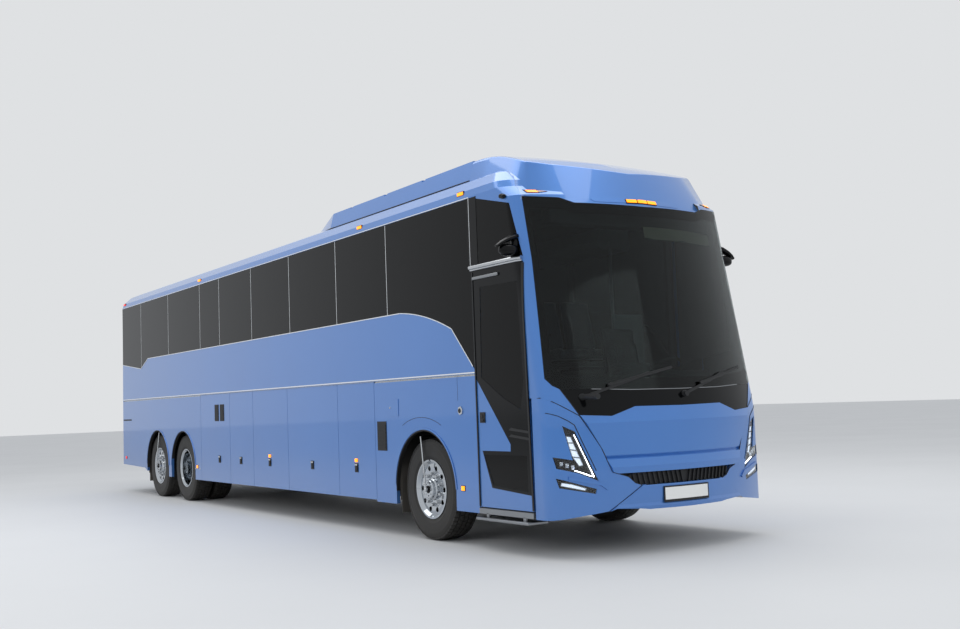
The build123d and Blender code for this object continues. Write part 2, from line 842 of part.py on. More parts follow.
with BuildPart() as engine:
    add(region((-370, 5560, 560), (370, 6500, deck_under_z - 60)))
    for lug_y in (5700, 6350):
        add(region((-rail_x - 40, lug_y - 60, rail_high_z + seat_gap), (rail_x + 40, lug_y + 60, rail_high_z + 60)))
save(engine, "engine")

# Front axle, knuckles and tie rod

eye_radius = 50.0
eye_half = 60.0
ear_gap = 1.0
ear_thick = 50.0
ear_radius = 55.0
beam_half = 48.0
bellows_radius = 125.0
arm_length = 220.0
arm_thick = 30.0
pin_radius = 12.0
rod_eye_radius = 28.0
rod_radius = 13.0
ear_low_z = hub_z - eye_half - ear_gap - ear_thick
rod_low_z = ear_low_z + arm_thick + ear_gap
rod_thick = 28.0


def drum(centre, radius, length, direction=Axis.Z):
    """Solid cylinder from a centre point along an axis."""
    plane = Plane(origin=centre, z_dir=direction.direction)
    with BuildPart() as body:
        with BuildSketch(plane):
            Circle(radius)
        extrude(amount=length)
    return body.part


with BuildPart() as front_axle:
    add(region((-700, front_axle_y - beam_half, hub_z - 122), (700, front_axle_y + beam_half, hub_z - 22)))
    for side in (-1, 1):
        inner_x, outer_x = sorted((side * 640, side * (kingpin_x - 20)))
        add(region((inner_x, front_axle_y - beam_half, hub_z - 52), (outer_x, front_axle_y + beam_half, hub_z + 52)))
        inner_x, outer_x = sorted((side * 640, side * 700))
        add(region((inner_x, front_axle_y - beam_half, hub_z - 122), (outer_x, front_axle_y + beam_half, hub_z + 52)))
        add(drum((side * kingpin_x, front_axle_y, hub_z - eye_half), eye_radius, 2 * eye_half))
        add(
            drum((side * rail_x, front_axle_y, hub_z - 40), bellows_radius, rail_low_z - seat_gap - hub_z + 40)
        )
    for side in (-1, 1):
        add(
            drum((side * kingpin_x, front_axle_y, hub_z - 200), kingpin_radius + running_fit, 400),
            mode=Mode.SUBTRACT,
        )
save(front_axle, "front_axle")

for side, word in ((-1, "right"), (1, "left")):
    with BuildPart() as knuckle:
        add(drum((side * kingpin_x, front_axle_y, ear_low_z), kingpin_radius, 2 * (hub_z - ear_low_z)))
        for ear_z in (ear_low_z, hub_z + eye_half + ear_gap):
            add(drum((side * kingpin_x, front_axle_y, ear_z), ear_radius, ear_thick))
            inner_x, outer_x = sorted((side * kingpin_x, side * (kingpin_x + 90)))
            add(region((inner_x, front_axle_y - ear_radius, ear_z), (outer_x, front_axle_y + ear_radius, ear_z + ear_thick)))
        inner_x, outer_x = sorted((side * (kingpin_x + 56), side * (kingpin_x + 100)))
        add(region((inner_x, front_axle_y - 70, ear_low_z), (outer_x, front_axle_y + 70, 2 * hub_z - ear_low_z)))
        add(
            drum(
                (side * (kingpin_x + 80), front_axle_y, hub_z),
                spindle_radius,
                track_x + 140 - kingpin_x - 80,
                Axis((0, 0, 0), (side, 0, 0)),
            )
        )
        add(
            region(
                (side * kingpin_x - 30, front_axle_y, ear_low_z),
                (side * kingpin_x + 30, front_axle_y + arm_length, ear_low_z + arm_thick),
            )
        )
        add(drum((side * kingpin_x, front_axle_y + arm_length, ear_low_z), 30, arm_thick))
        add(drum((side * kingpin_x, front_axle_y + arm_length, ear_low_z), pin_radius, arm_thick + rod_thick + 12))
    save(knuckle, f"knuckle_{word}")

with BuildPart() as tie_rod:
    add(
        drum(
            (-kingpin_x, front_axle_y + arm_length, rod_low_z + rod_thick / 2),
            rod_radius,
            2 * kingpin_x,
            Axis((0, 0, 0), (1, 0, 0)),
        )
    )
    for side, clearance in ((1, running_fit), (-1, 1.5)):
        place = (side * kingpin_x, front_axle_y + arm_length, rod_low_z)
        add(drum(place, rod_eye_radius, rod_thick))
    for side, clearance in ((1, running_fit), (-1, 1.5)):
        place = (side * kingpin_x, front_axle_y + arm_length, rod_low_z - 50)
        add(drum(place, pin_radius + clearance, rod_thick + 100), mode=Mode.SUBTRACT)
save(tie_rod, "tie_rod")

# Rear axles

spindle_end_x = track_x + 140
with BuildPart() as rear_axles:
    for axle_y, tube_radius, tube_half in ((drive_axle_y, 80, 630), (tag_axle_y, 70, 960)):
        along = Axis((0, 0, 0), (1, 0, 0))
        add(drum((-tube_half, axle_y, hub_z), tube_radius, 2 * tube_half, along))
        reach = track_x - 40 if axle_y == drive_axle_y else spindle_end_x
        add(drum((-reach, axle_y, hub_z), spindle_radius, 2 * reach, along))
        for side in (-1, 1):
            add(drum((side * rail_x, axle_y, hub_z), bellows_radius, rail_low_z - seat_gap - hub_z))
    add(drum((0, drive_axle_y - 130, hub_z), 200, 260, Axis((0, 0, 0), (0, 1, 0))))
save(rear_axles, "rear_axles")

# Wheels

tyre_bead = rim_radius


def turned(points, centre_x, centre_y, side):
    """Ring turned about a wheel's axis from a section of (outboard, radius)."""
    axis = Axis((0, centre_y, hub_z), (1, 0, 0))
    with BuildPart() as ring:
        with BuildSketch(Plane.XZ.offset(-centre_y)):
            with BuildLine():
                Polyline(*[(centre_x + side * out, hub_z + radius) for out, radius in points], close=True)
            make_face()
        revolve(axis=axis)
    return ring.part


half_tread = tyre_width / 2
# Tyre section, as (outboard, radius)
tyre_section = (
    (-120, tyre_bead),
    (-122, 314),
    (-half_tread + 4, 360),
    (-half_tread, 410),
    (-half_tread + 6, 470),
    (-half_tread + 24, 508),
    (-half_tread + 45, tyre_radius),
    (half_tread - 45, tyre_radius),
    (half_tread - 24, 508),
    (half_tread - 6, 470),
    (half_tread, 410),
    (half_tread - 4, 360),
    (122, 314),
    (120, tyre_bead),
)
bore = spindle_radius + running_fit
# Rim with its disc carried outboard, as (outboard, radius)
single_section = (
    (-136, 268),
    (-136, 304),
    (-124, 304),
    (-124, tyre_bead - seat_gap),
    (124, tyre_bead - seat_gap),
    (124, 304),
    (136, 304),
    (136, 286),
    (112, 268),
    (104, 262),
    (112, 222),
    (104, 178),
    (104, 118),
    (128, 112),
    (140, 100),
    (165, 96),
    (172, 88),
    (172, 0),
    (146, 0),
    (146, bore),
    (-50, bore),
    (-50, 95),
    (70, 95),
    (84, 118),
    (84, 178),
    (92, 222),
    (84, 262),
    (76, 268),
)
# Twin rims bolted back to back, measured from the outer tyre's middle plane
twin = -twin_pitch
twin_section = (
    (136, 286),
    (136, 304),
    (124, 304),
    (124, tyre_bead - seat_gap),
    (-124, tyre_bead - seat_gap),
    (-124, 304),
    (-136, 304),
    (-136, 285),
    (-152, 240),
    (-152, 222),
    (twin + 152, 222),
    (twin + 152, 240),
    (twin + 136, 285),
    (twin + 136, 304),
    (twin + 124, 304),
    (twin + 124, tyre_bead - seat_gap),
    (twin - 124, tyre_bead - seat_gap),
    (twin - 124, 304),
    (twin - 136, 304),
    (twin - 136, 270),
    (twin + 110, 268),
    (twin + 132, 205),
    (twin + 132, 90),
    (twin - 40, 90),
    (twin - 40, bore),
    (-34, bore),
    (-34, 0),
    (-10, 0),
    (-10, 84),
    (-30, 104),
    (-130, 110),
    (-132, 205),
    (-110, 262),
    (-90, 268),
    (112, 268),
)
wheel_rows = (
    ("front", front_axle_y, single_section, (0,)),
    ("drive", drive_axle_y, twin_section, (0, twin)),
    ("tag", tag_axle_y, single_section, (0,)),
)

for place, axle_y, section, tyre_places in wheel_rows:
    for side, word in ((-1, "right"), (1, "left")):
        with BuildPart() as tyre:
            for shift in tyre_places:
                add(turned(tyre_section, side * (track_x + shift), axle_y, side))
        save(tyre, f"tyre_{place}_{word}")
        with BuildPart() as rim:
            add(turned(section, side * track_x, axle_y, side))
            with BuildSketch(Plane.YZ.offset(side * (track_x - 170))):
                with Locations((axle_y, hub_z)):
                    with PolarLocations(218, 10):
                        Circle(26)
            extrude(amount=side * 400, mode=Mode.SUBTRACT)
        save(rim, f"rim_{place}_{word}")

# Entry door, its glass and the swan-neck arm that carries it

door_outline = (
    (door_rear_y - moving_gap, 405),
    (door_rear_y - moving_gap, 2665 - moving_gap),
    (door_front_y + 64 + moving_gap, 2665 - moving_gap),
    (door_front_y + moving_gap, 405),
)
door_upper_glass = ((-5574, 2497), (-6191, 2487), (-6240, 1591), (-6182, 1316), (-5893, 1434), (-5545, 1632))
door_lower_glass = ((-5545, 900), (-6245, 900), (-6250, 575), (-5690, 615))
arm_post = (-half_width + 120, -6270.0)
arm_neck = (-half_width + 246, -6190.0)
arm_pin = (-half_width + 120, -5855.0)
arm_levels = (1000.0, 1290.0)
arm_radius = 16.0
arm_eye = 24.0
door_pin = 10.0
bracket_half = 30.0

with BuildPart() as entry_door:
    add(outer_form)
    add(side_prism(door_outline, -1), mode=Mode.INTERSECT)
    add(inner_form, mode=Mode.SUBTRACT)
    add(side_prism(door_upper_glass, -1, seat_gap), mode=Mode.SUBTRACT)
    add(side_prism(door_lower_glass, -1, seat_gap), mode=Mode.SUBTRACT)
    for level in arm_levels:
        for offset_z in (-60, 36):
            add(
                region(
                    (-half_width + wall - 5, arm_pin[1] - bracket_half, level + offset_z),
                    (arm_pin[0] + 20, arm_pin[1] + bracket_half, level + offset_z + 24),
                )
            )
        add(drum((*arm_pin, level - 60), door_pin, 120))
save(entry_door, "entry_door")

with BuildPart() as entry_door_glass:
    add(glass_skin.part)
    add(side_prism(door_upper_glass, -1) + side_prism(door_lower_glass, -1), mode=Mode.INTERSECT)
save(entry_door_glass, "entry_door_glass")

with BuildPart() as door_arm:
    add(drum((*arm_post, 420 + seat_gap), 20, 2220))
    for level in arm_levels:
        for start, end in ((arm_post, arm_neck), (arm_neck, arm_pin)):
            run = Vector(end[0] - start[0], end[1] - start[1], 0)
            add(drum((*start, level), arm_radius, run.length, Axis((0, 0, 0), tuple(run))))
        with Locations((*arm_neck, level)):
            Sphere(arm_radius)
        add(drum((*arm_pin, level - 34), arm_eye, 68))
    for level in arm_levels:
        add(drum((*arm_pin, level - 200), door_pin + running_fit, 400), mode=Mode.SUBTRACT)
save(door_arm, "door_arm")

# Seats

seat_profile = (
    (-150, 0),
    (-150, 290),
    (-250, 330),
    (-260, 450),
    (160, 420),
    (300, 1080),
    (400, 1080),
    (290, 330),
    (150, 290),
    (150, 0),
)


def seat_block(place_x, place_y, floor_z, width):
    """One seat from its side profile."""
    with BuildSketch(Plane.YZ.offset(place_x - width / 2)) as profile:
        with BuildLine():
            Polyline(*[(place_y + along, floor_z + seat_gap + rise) for along, rise in seat_profile], close=True)
        make_face()
    with BuildPart() as seat:
        extrude(profile.sketch, amount=width)
    return seat.part


seat_pitch = 850.0
seat_rows = 13
seat_first_y = -4500.0
pair_width = 960.0
pair_x = 700.0

driver_x = 640.0
driver_y = -5620.0

with BuildPart() as seats:
    for row in range(seat_rows):
        for side in (-1, 1):
            add(seat_block(side * pair_x, seat_first_y + row * seat_pitch, deck_z, pair_width))
    add(seat_block(driver_x, driver_y, platform_z, 520))
save(seats, "seats")

wheel_plane = Plane(origin=(driver_x, -5930, 1640), x_dir=(1, 0, 0), z_dir=(0, 0.55, 0.83))

with BuildPart() as dashboard:
    with BuildSketch(Plane.YZ.offset(-500)):
        with BuildLine():
            Polyline(
                (-6400, platform_z + seat_gap),
                (-6400, 1480),
                (-6150, 1540),
                (-6020, 1480),
                (-6080, 1300),
                (-6180, 1250),
                (-6180, platform_z + seat_gap),
                close=True,
            )
        make_face()
    extrude(amount=1600)
    with BuildSketch(Plane(origin=wheel_plane.origin, x_dir=(1, 0, 0), z_dir=wheel_plane.y_dir)):
        with Locations((225, 0)):
            Circle(15)
    revolve(axis=Axis(wheel_plane.origin, wheel_plane.z_dir))
    with BuildSketch(wheel_plane.offset(-12)):
        Rectangle(450, 40)
        Circle(60)
    extrude(amount=24)
    with BuildSketch(wheel_plane.offset(-330)):
        Circle(35)
    extrude(amount=330)
save(dashboard, "dashboard")

# Marker lamps: caps that follow the skin, from 0.3 mm off it outwards

marker_proud = 12.0
marker_skin = body_form(-marker_proud)
# Side markers. Columns: place along the side, height, half length, half height.
side_markers = (
    (-5270, 3455, 55, 16),
    (-3070, 3455, 55, 16),
    (2430, 3455, 55, 16),
    (6590, 3455, 55, 16),
    (-5148, 563, 30, 22),
    (2640, 561, 30, 22),
    (6560, 625, 30, 22),
)

# Front markers: three on the dome and one on each end of the brow.
# Columns: place across, half width, height, half height.
dome_markers = ((0, 50, 3262, 15), (-195, 50, 3260, 15), (195, 50, 3260, 15))
brow_markers = ((1123, 80, 3322, 16), (-1123, 80, 3322, 16))

with BuildPart() as marker_caps:
    add(marker_skin)
    add(marker_seat, mode=Mode.SUBTRACT)

with BuildPart() as dome_caps:
    add(dome_form(-marker_proud))
    add(dome_form(-seat_gap), mode=Mode.SUBTRACT)

with BuildPart() as dome_lamps:
    for place, half_long, height, half_high in dome_markers:
        add(region((place - half_long, -6700, height - half_high), (place + half_long, -6300, height + half_high)))
    add(dome_caps.part, mode=Mode.INTERSECT)

with BuildPart() as marker_lamps:
    for side in (-1, 1):
        for place, height, half_long, half_high in side_markers:
            add(
                region(
                    (min(side * 1100, side * 1400), place - half_long, height - half_high),
                    (max(side * 1100, side * 1400), place + half_long, height + half_high),
                )
            )
    for place, half_long, height, half_high in brow_markers:
        add(region((place - half_long, -6500, height - half_high), (place + half_long, -5900, height + half_high)))
    add(marker_caps.part, mode=Mode.INTERSECT)
    add(dome_lamps.part)
save(marker_lamps, "marker_lamps")

# Wipers: arms and blades that follow the windscreen

wiper_off = 14.0
wiper_thick = 14.0
wiper_outer = body_form(-wiper_off - wiper_thick)
wiper_inner = body_form(-wiper_off)
# Arm and blade of each wiper in front view, as (x, z)
wiper_strips = (
    ((-1010, 1395), (-985, 1425), (-330, 1620), (-320, 1596)),
    ((-760, 1505), (-765, 1522), (-60, 1665), (-55, 1648)),
    ((40, 1395), (60, 1425), (640, 1610), (650, 1586)),
    ((270, 1498), (265, 1515), (960, 1660), (965, 1643)),
)

with BuildPart() as wipers:
    for strip in wiper_strips:
        with BuildSketch(Plane.XZ.offset(6000)):
            with BuildLine():
                Polyline(*strip, close=True)
            make_face()
        extrude(amount=1100)
    add(wiper_outer, mode=Mode.INTERSECT)
    add(wiper_inner, mode=Mode.SUBTRACT)
    for pivot_x in (-998, 50):
        add(drum((pivot_x, -6500, 1410), 26, 420, Axis((0, 0, 0), (0, -1, 0))))
    add(marker_seat, mode=Mode.SUBTRACT)
save(wipers, "wipers")

# Camera pods on the front pillars

pod_y = -6175.0
# Lobes of a pod, turned about a line across. Columns: middle, height, half length, radius.
pod_lobes = ((1345, 2876, 130, 52), (1392, 2776, 118, 64))


def lobe(side, middle, height, half_long, radius):
    """Egg-shaped lobe turned about a line across the coach."""
    across = Axis((0, pod_y, height), (1, 0, 0))
    with BuildPart() as egg:
        with BuildSketch(Plane.XZ.offset(-pod_y)):
            with Locations((side * middle, height)):
                Ellipse(half_long, radius)
                Rectangle(3 * half_long, 3 * radius, align=(Align.CENTER, Align.MAX), mode=Mode.SUBTRACT)
        revolve(axis=across)
    return egg.part


with BuildPart() as camera_pods:
    for side in (-1, 1):
        add(drum((side * 1200, pod_y, pod_lobes[0][1]), 26, 150, Axis((0, 0, 0), (side, 0, 0))))
        for lobe_row in pod_lobes:
            add(lobe(side, *lobe_row))
    add(marker_seat, mode=Mode.SUBTRACT)
save(camera_pods, "camera_pods")

# Mud flaps hang from the rear walls of the wheelhouses
flap_thick = 10.0
with BuildPart() as mud_flaps:
    for side in (-1, 1):
        for low_y, high_y in house_rows:
            inner_x, outer_x = sorted((side * 985, side * (house_outer_x - 10)))
            back_y = high_y - house_skin - seat_gap
            add(region((inner_x, back_y - flap_thick, 240), (outer_x, back_y, 760)))
save(mud_flaps, "mud_flaps")
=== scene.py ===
"""Looks of a three-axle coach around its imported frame, in metres: front to -Y, driver's side +X, up +Z."""
import logging
import math
from collections.abc import Callable, Iterable, Sequence
from dataclasses import dataclass, replace
from enum import Enum
from functools import cache

import bmesh
import bpy
from mathutils import Matrix, Vector


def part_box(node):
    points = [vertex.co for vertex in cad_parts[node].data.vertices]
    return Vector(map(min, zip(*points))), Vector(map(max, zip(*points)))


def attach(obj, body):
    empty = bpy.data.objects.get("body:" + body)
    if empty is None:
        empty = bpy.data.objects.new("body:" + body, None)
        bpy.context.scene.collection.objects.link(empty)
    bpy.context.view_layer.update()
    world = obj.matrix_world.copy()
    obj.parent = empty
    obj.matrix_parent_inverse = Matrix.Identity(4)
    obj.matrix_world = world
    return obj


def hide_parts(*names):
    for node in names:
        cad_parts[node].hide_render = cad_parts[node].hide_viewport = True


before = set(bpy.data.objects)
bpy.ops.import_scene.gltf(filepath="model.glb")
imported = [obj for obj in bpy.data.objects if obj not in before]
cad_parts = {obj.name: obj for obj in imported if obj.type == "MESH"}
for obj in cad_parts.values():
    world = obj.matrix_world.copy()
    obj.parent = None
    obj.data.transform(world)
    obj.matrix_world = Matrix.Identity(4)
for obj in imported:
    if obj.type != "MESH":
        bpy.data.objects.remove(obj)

LOG = logging.getLogger("coach")
MM = 0.001
SIDES = ((-1, "right"), (1, "left"))
Pair = tuple[float, float]
Point = tuple[float, float, float]
Span = tuple[float, float, float, float]
Box = tuple[Point, Point, float]
Outline = Sequence[Pair]
Place = Sequence[float]
Surface = Callable[[float, float, float], Vector]
Socket = bpy.types.NodeSocket
Tree = bpy.types.NodeTree
Mesh = bpy.types.Mesh


def linear(code: str) -> tuple[float, float, float, float]:
    """Turn an sRGB hex colour to linear.

    Args:
        code: The colour as "#rrggbb".

    Returns:
        Linear red, green and blue, and an alpha of 1.
    """
    shares = [int(code[at : at + 2], 16) / 255 for at in (1, 3, 5)]
    red, green, blue = (s / 12.92 if s <= 0.04045 else ((s + 0.055) / 1.055) ** 2.4 for s in shares)
    return red, green, blue, 1.0


def add_node(tree: Tree, kind: str, inputs: dict | None = None, **settings) -> bpy.types.Node:
    """Add a node with its settings, values and links.

    Args:
        tree: The tree that takes the node.
        kind: Blender's name of the node type.
        inputs: Value, output socket, or node by its first output, for each input by name or number.
        **settings: Properties of the node.

    Returns:
        The new node.
    """
    made = tree.nodes.new(kind)
    for name, value in settings.items():
        setattr(made, name, value)
    for key, value in (inputs or {}).items():
        if isinstance(value, bpy.types.Node):
            value = value.outputs[0]
        if isinstance(value, Socket):
            tree.links.new(value, made.inputs[key])
        else:
            made.inputs[key].default_value = value
    return made


class Grain(Enum):
    """Relief that a way of making leaves on a surface."""

    FINE = "fine"
    CELLS = "cells"
    WOVEN = "woven"
    TURNED = "turned"
    BRUSHED = "brushed"


class Inner(Enum):
    """How a painted shell tells its inner faces, which take the lining colour."""

    NONE = "none"
    FACING = "facing"
    DEPTH = "depth"


@dataclass(frozen=True)
class Finish:
    """Finish of one surface, as a procedural material.

    Attributes:
        name: Common name and way of making.
        colour: Main colour.
        shade: Colour that the main one drifts to.
        roughness: Lowest and highest roughness.
        metallic: Share of bare metal.
        grain: Kind of relief.
        grain_mm: Width of one grain, thread or ring.
        relief_mm: Depth of the relief.
        patch_mm: Width of the patches in which the colour drifts.
        dust: Share of road film low down.
        dust_top: Height at which the road film ends.
        film: Colour of the road film.
        centre: Axle's y and z, for turned rings.
        inner: How inner faces are told.
        lining: Colour of the inner faces.
        domed: Whether the planes of the roof's front read as one curve.
        sockets: Values of the shader's own uniform sockets.
    """

    name: str
    colour: str
    shade: str
    roughness: Pair = (0.35, 0.5)
    metallic: float = 0.0
    grain: Grain = Grain.FINE
    grain_mm: float = 2.0
    relief_mm: float = 0.02
    patch_mm: float = 400.0
    dust: float = 0.0
    dust_top: float = 1.0
    film: str = "#8b8378"
    centre: Pair = (0.0, 0.0)
    inner: Inner = Inner.NONE
    lining: str = "#3a3b3d"
    domed: bool = False
    sockets: tuple[tuple[str, float], ...] = ()

    def height(self, tree: Tree, place: Socket) -> Socket:
        """Draw the relief.

        Args:
            tree: The material's tree.
            place: Object coordinates.

        Returns:
            The socket with the relief's height, from 0 to 1.
        """
        scale = 1.0 / (self.grain_mm * MM)
        if self.grain is Grain.CELLS:
            cells = {"Vector": place, "Scale": scale}
            edges = add_node(tree, "ShaderNodeTexVoronoi", cells, feature="DISTANCE_TO_EDGE")
            return edges.outputs["Distance"]
        if self.grain is Grain.BRUSHED:
            stretch = (scale, scale / 40, scale)
            drawn = add_node(tree, "ShaderNodeMapping", {"Vector": place, "Scale": stretch})
            return add_node(tree, "ShaderNodeTexNoise", {"Vector": drawn, "Scale": 1.0}).outputs["Fac"]
        if self.grain is Grain.TURNED:
            spot = (0.0, -self.centre[0], -self.centre[1])
            moved = add_node(tree, "ShaderNodeMapping", {"Vector": place, "Location": spot})
            across = {0: moved, 1: (0.0, scale, scale)}
            flat = add_node(tree, "ShaderNodeVectorMath", across, operation="MULTIPLY")
            radius = add_node(tree, "ShaderNodeVectorMath", {0: flat}, operation="LENGTH").outputs["Value"]
            turns = add_node(tree, "ShaderNodeMath", {0: radius, 1: math.tau}, operation="MULTIPLY")
            return add_node(tree, "ShaderNodeMath", {0: turns}, operation="SINE").outputs[0]
        if self.grain is Grain.WOVEN:
            spread = {"Vector": place, "Scale": scale * 0.5, "Distortion": 0.3}
            waves = [add_node(tree, "ShaderNodeTexWave", spread, bands_direction=way) for way in "XZ"]
            both = {at: wave.outputs["Fac"] for at, wave in enumerate(waves)}
            return add_node(tree, "ShaderNodeMath", both, operation="ADD").outputs[0]
        specks = {"Vector": place, "Scale": scale, "Detail": 3.0}
        return add_node(tree, "ShaderNodeTexNoise", specks).outputs["Fac"]

    def inside(self, tree: Tree, place: Socket) -> bpy.types.Node | None:
        """Tell a shell's inner faces, by where they look or how deep they lie.

        Args:
            tree: The material's tree.
            place: Object coordinates.

        Returns:
            The node whose value is 1 on inner faces, or None where the finish has none.
        """
        if self.inner is Inner.FACING:
            middle_z = 2.0
            normal = add_node(tree, "ShaderNodeNewGeometry").outputs["Normal"]
            arms = {0: place, 1: (0.0, 0.0, -middle_z)}
            both = {0: normal, 1: add_node(tree, "ShaderNodeVectorMath", arms, operation="ADD")}
            facing = add_node(tree, "ShaderNodeVectorMath", both, operation="DOT_PRODUCT")
            inwards = {0: facing.outputs["Value"], 1: 0.0}
            return add_node(tree, "ShaderNodeMath", inwards, operation="LESS_THAN")
        if self.inner is Inner.DEPTH:
            lining_x, lining_y, lean = 1.2885, 6.961, 0.03
            part = add_node(tree, "ShaderNodeSeparateXYZ", {0: place}).outputs
            across = add_node(tree, "ShaderNodeMath", {0: part["X"]}, operation="ABSOLUTE")
            sides = add_node(tree, "ShaderNodeMath", {0: across, 1: lining_x}, operation="LESS_THAN")
            leaned = {0: part["Z"], 1: lean, 2: part["Y"]}
            depth = add_node(tree, "ShaderNodeMath", leaned, operation="MULTIPLY_ADD")
            back = add_node(tree, "ShaderNodeMath", {0: depth, 1: lining_y}, operation="LESS_THAN")
            return add_node(tree, "ShaderNodeMath", {0: sides, 1: back}, operation="MULTIPLY")
        return None

    def rounded(self, tree: Tree, place: Socket) -> Socket:
        """Turn the normal evenly from plane to plane over the windscreen, where the roof's front is domed.

        Args:
            tree: The material's tree.
            place: Object coordinates.

        Returns:
            The socket with the even normal.
        """
        spot = add_node(tree, "ShaderNodeSeparateXYZ", {0: place}).outputs
        true = add_node(tree, "ShaderNodeNewGeometry").outputs["Normal"]
        rise = add_node(tree, "ShaderNodeSeparateXYZ", {0: true}).outputs
        known = {"x": spot["X"], "y": spot["Y"], "z": spot["Z"], "ahead": rise["Y"], "up": rise["Z"]}
        # Fades from 0 to 1. Columns: name, what fades, where it starts and ends.
        for name, value, start, end in (
            ("flank", "y", -6.1, -5.8), ("crest", "up", 0.62, 0.9), ("above", "z", 3.2, 3.26),
            ("nose", "y", -5.3, -5.45),
        ):
            inputs = {"Value": known[value], "From Min": start, "From Max": end}
            known[name] = add_node(tree, "ShaderNodeMapRange", inputs, interpolation_type="SMOOTHSTEP")
        # Sums. Columns: name, operation, and two or three values. The share is 1 at the dome's corner.
        for name, kind, *values in (
            ("width", "MULTIPLY_ADD", "z", -0.347, 2.3504), ("share", "DIVIDE", "x", "width"),
            ("size", "ABSOLUTE", "share"), ("steep", "POWER", "size", 9.0),
            ("rate", "MULTIPLY_ADD", "steep", 1.01, 0.377), ("bowed", "MULTIPLY", "share", "rate"),
            ("side", "SIGN", "share"), ("square", "MULTIPLY", "side", math.pi / 2),
            ("rest", "SUBTRACT", "square", "bowed"), ("turn", "MULTIPLY_ADD", "rest", "flank", "bowed"),
            ("turned", "MULTIPLY", "turn", "turn"), ("face", "MULTIPLY_ADD", "turned", -0.075, 0.497),
            ("climb", "SUBTRACT", "up", "face"), ("lift", "MULTIPLY_ADD", "climb", "crest", "face"),
            ("lifted", "MULTIPLY", "lift", "lift"), ("level", "SUBTRACT", 1.0, "lifted"),
            ("flat", "SQRT", "level"), ("sine", "SINE", "turn"), ("across", "MULTIPLY", "sine", "flat"),
            ("cosine", "COSINE", "turn"), ("forward", "MULTIPLY", "cosine", "flat"),
            ("along", "MULTIPLY", "forward", -1.0), ("zone", "MULTIPLY", "above", "nose"),
            ("within", "LESS_THAN", "size", 1.01), ("patch", "MULTIPLY", "zone", "within"),
            ("outer", "LESS_THAN", "ahead", 0.3), ("mask", "MULTIPLY", "patch", "outer"),
        ):
            inputs = {at: known.get(value, value) for at, value in enumerate(values)}
            known[name] = add_node(tree, "ShaderNodeMath", inputs, operation=kind)
        parts = {at: known[name] for at, name in enumerate(("across", "along", "lift"))}
        both = {0: known["mask"], 4: true, 5: add_node(tree, "ShaderNodeCombineXYZ", parts)}
        mixed = add_node(tree, "ShaderNodeMix", both, data_type="VECTOR").outputs[1]
        return add_node(tree, "ShaderNodeVectorMath", {0: mixed}, operation="NORMALIZE").outputs[0]

    def material(self) -> bpy.types.Material:
        """Return the finish's material, made once."""
        return made_material(self)

    def shader_inputs(self, tree: Tree, place: Socket) -> dict:
        """Draw colour, roughness and relief.

        Args:
            tree: The material's tree.
            place: Object coordinates.

        Returns:
            The values and links of the shader by its sockets' names.
        """
        patches = {"Vector": place, "Scale": 1.0 / (self.patch_mm * MM), "Detail": 4.0}
        patch = add_node(tree, "ShaderNodeTexNoise", patches).outputs["Fac"]
        layers = [(patch, self.shade)]
        inside = self.inside(tree, place)
        if inside is not None:
            layers.append((inside, self.lining))
        if self.dust:
            height = add_node(tree, "ShaderNodeSeparateXYZ", {0: place}).outputs["Z"]
            ends = {"From Min": 0.2, "From Max": self.dust_top, "To Min": self.dust, "To Max": 0.0}
            film = add_node(tree, "ShaderNodeMapRange", {"Value": height} | ends)
            share = add_node(tree, "ShaderNodeMath", {0: film, 1: patch}, operation="MULTIPLY")
            layers.append((share, self.film))
        colour = linear(self.colour)
        for share, over in layers:
            inputs = {0: share, 6: colour, 7: linear(over)}
            colour = add_node(tree, "ShaderNodeMix", inputs, data_type="RGBA").outputs[2]
        low, high = self.roughness
        rough = add_node(tree, "ShaderNodeMapRange", {"Value": patch, "To Min": low, "To Max": high})
        bump = {"Height": self.height(tree, place), "Distance": self.relief_mm * MM}
        if self.domed:
            bump["Normal"] = self.rounded(tree, place)
        relief = add_node(tree, "ShaderNodeBump", bump)
        inputs = {"Base Color": colour, "Roughness": rough, "Normal": relief, "Metallic": self.metallic}
        if self.domed:
            inputs["Coat Normal"] = bump["Normal"]
        return inputs | dict(self.sockets)


@dataclass(frozen=True)
class Marker(Finish):
    """Lit lens, red behind a place along the coach and of the main colour before it.

    Attributes:
        glow: Strength of the light.
        rear: Colour of the rear lenses.
        rear_y: Where the rear lenses begin.
    """

    glow: float = 1.5
    rear: str = "#c0160e"
    rear_y: float = 6.4

    def shader_inputs(self, tree: Tree, place: Socket) -> dict:
        """Draw the finish, with its light.

        Args:
            tree: The material's tree.
            place: Object coordinates.

        Returns:
            The values and links of the shader by its sockets' names.
        """
        inputs = super().shader_inputs(tree, place)
        along = add_node(tree, "ShaderNodeSeparateXYZ", {0: place}).outputs["Y"]
        behind = add_node(tree, "ShaderNodeMath", {0: along, 1: self.rear_y}, operation="GREATER_THAN")
        both = {0: behind, 6: inputs["Base Color"], 7: linear(self.rear)}
        colour = add_node(tree, "ShaderNodeMix", both, data_type="RGBA").outputs[2]
        return inputs | {"Base Color": colour, "Emission Color": colour, "Emission Strength": self.glow}


@cache
def made_material(finish: Finish) -> bpy.types.Material:
    """Build the material of a finish.

    Args:
        finish: The finish.

    Returns:
        The material.
    """
    made = bpy.data.materials.new(finish.name)
    made.use_nodes = True
    tree = made.node_tree
    tree.nodes.clear()
    place = add_node(tree, "ShaderNodeTexCoord").outputs["Object"]
    shader = add_node(tree, "ShaderNodeBsdfPrincipled", finish.shader_inputs(tree, place))
    add_node(tree, "ShaderNodeOutputMaterial", {"Surface": shader})
    return made


COAT = (("Coat Weight", 1.0), ("Coat Roughness", 0.04), ("Coat IOR", 1.5))

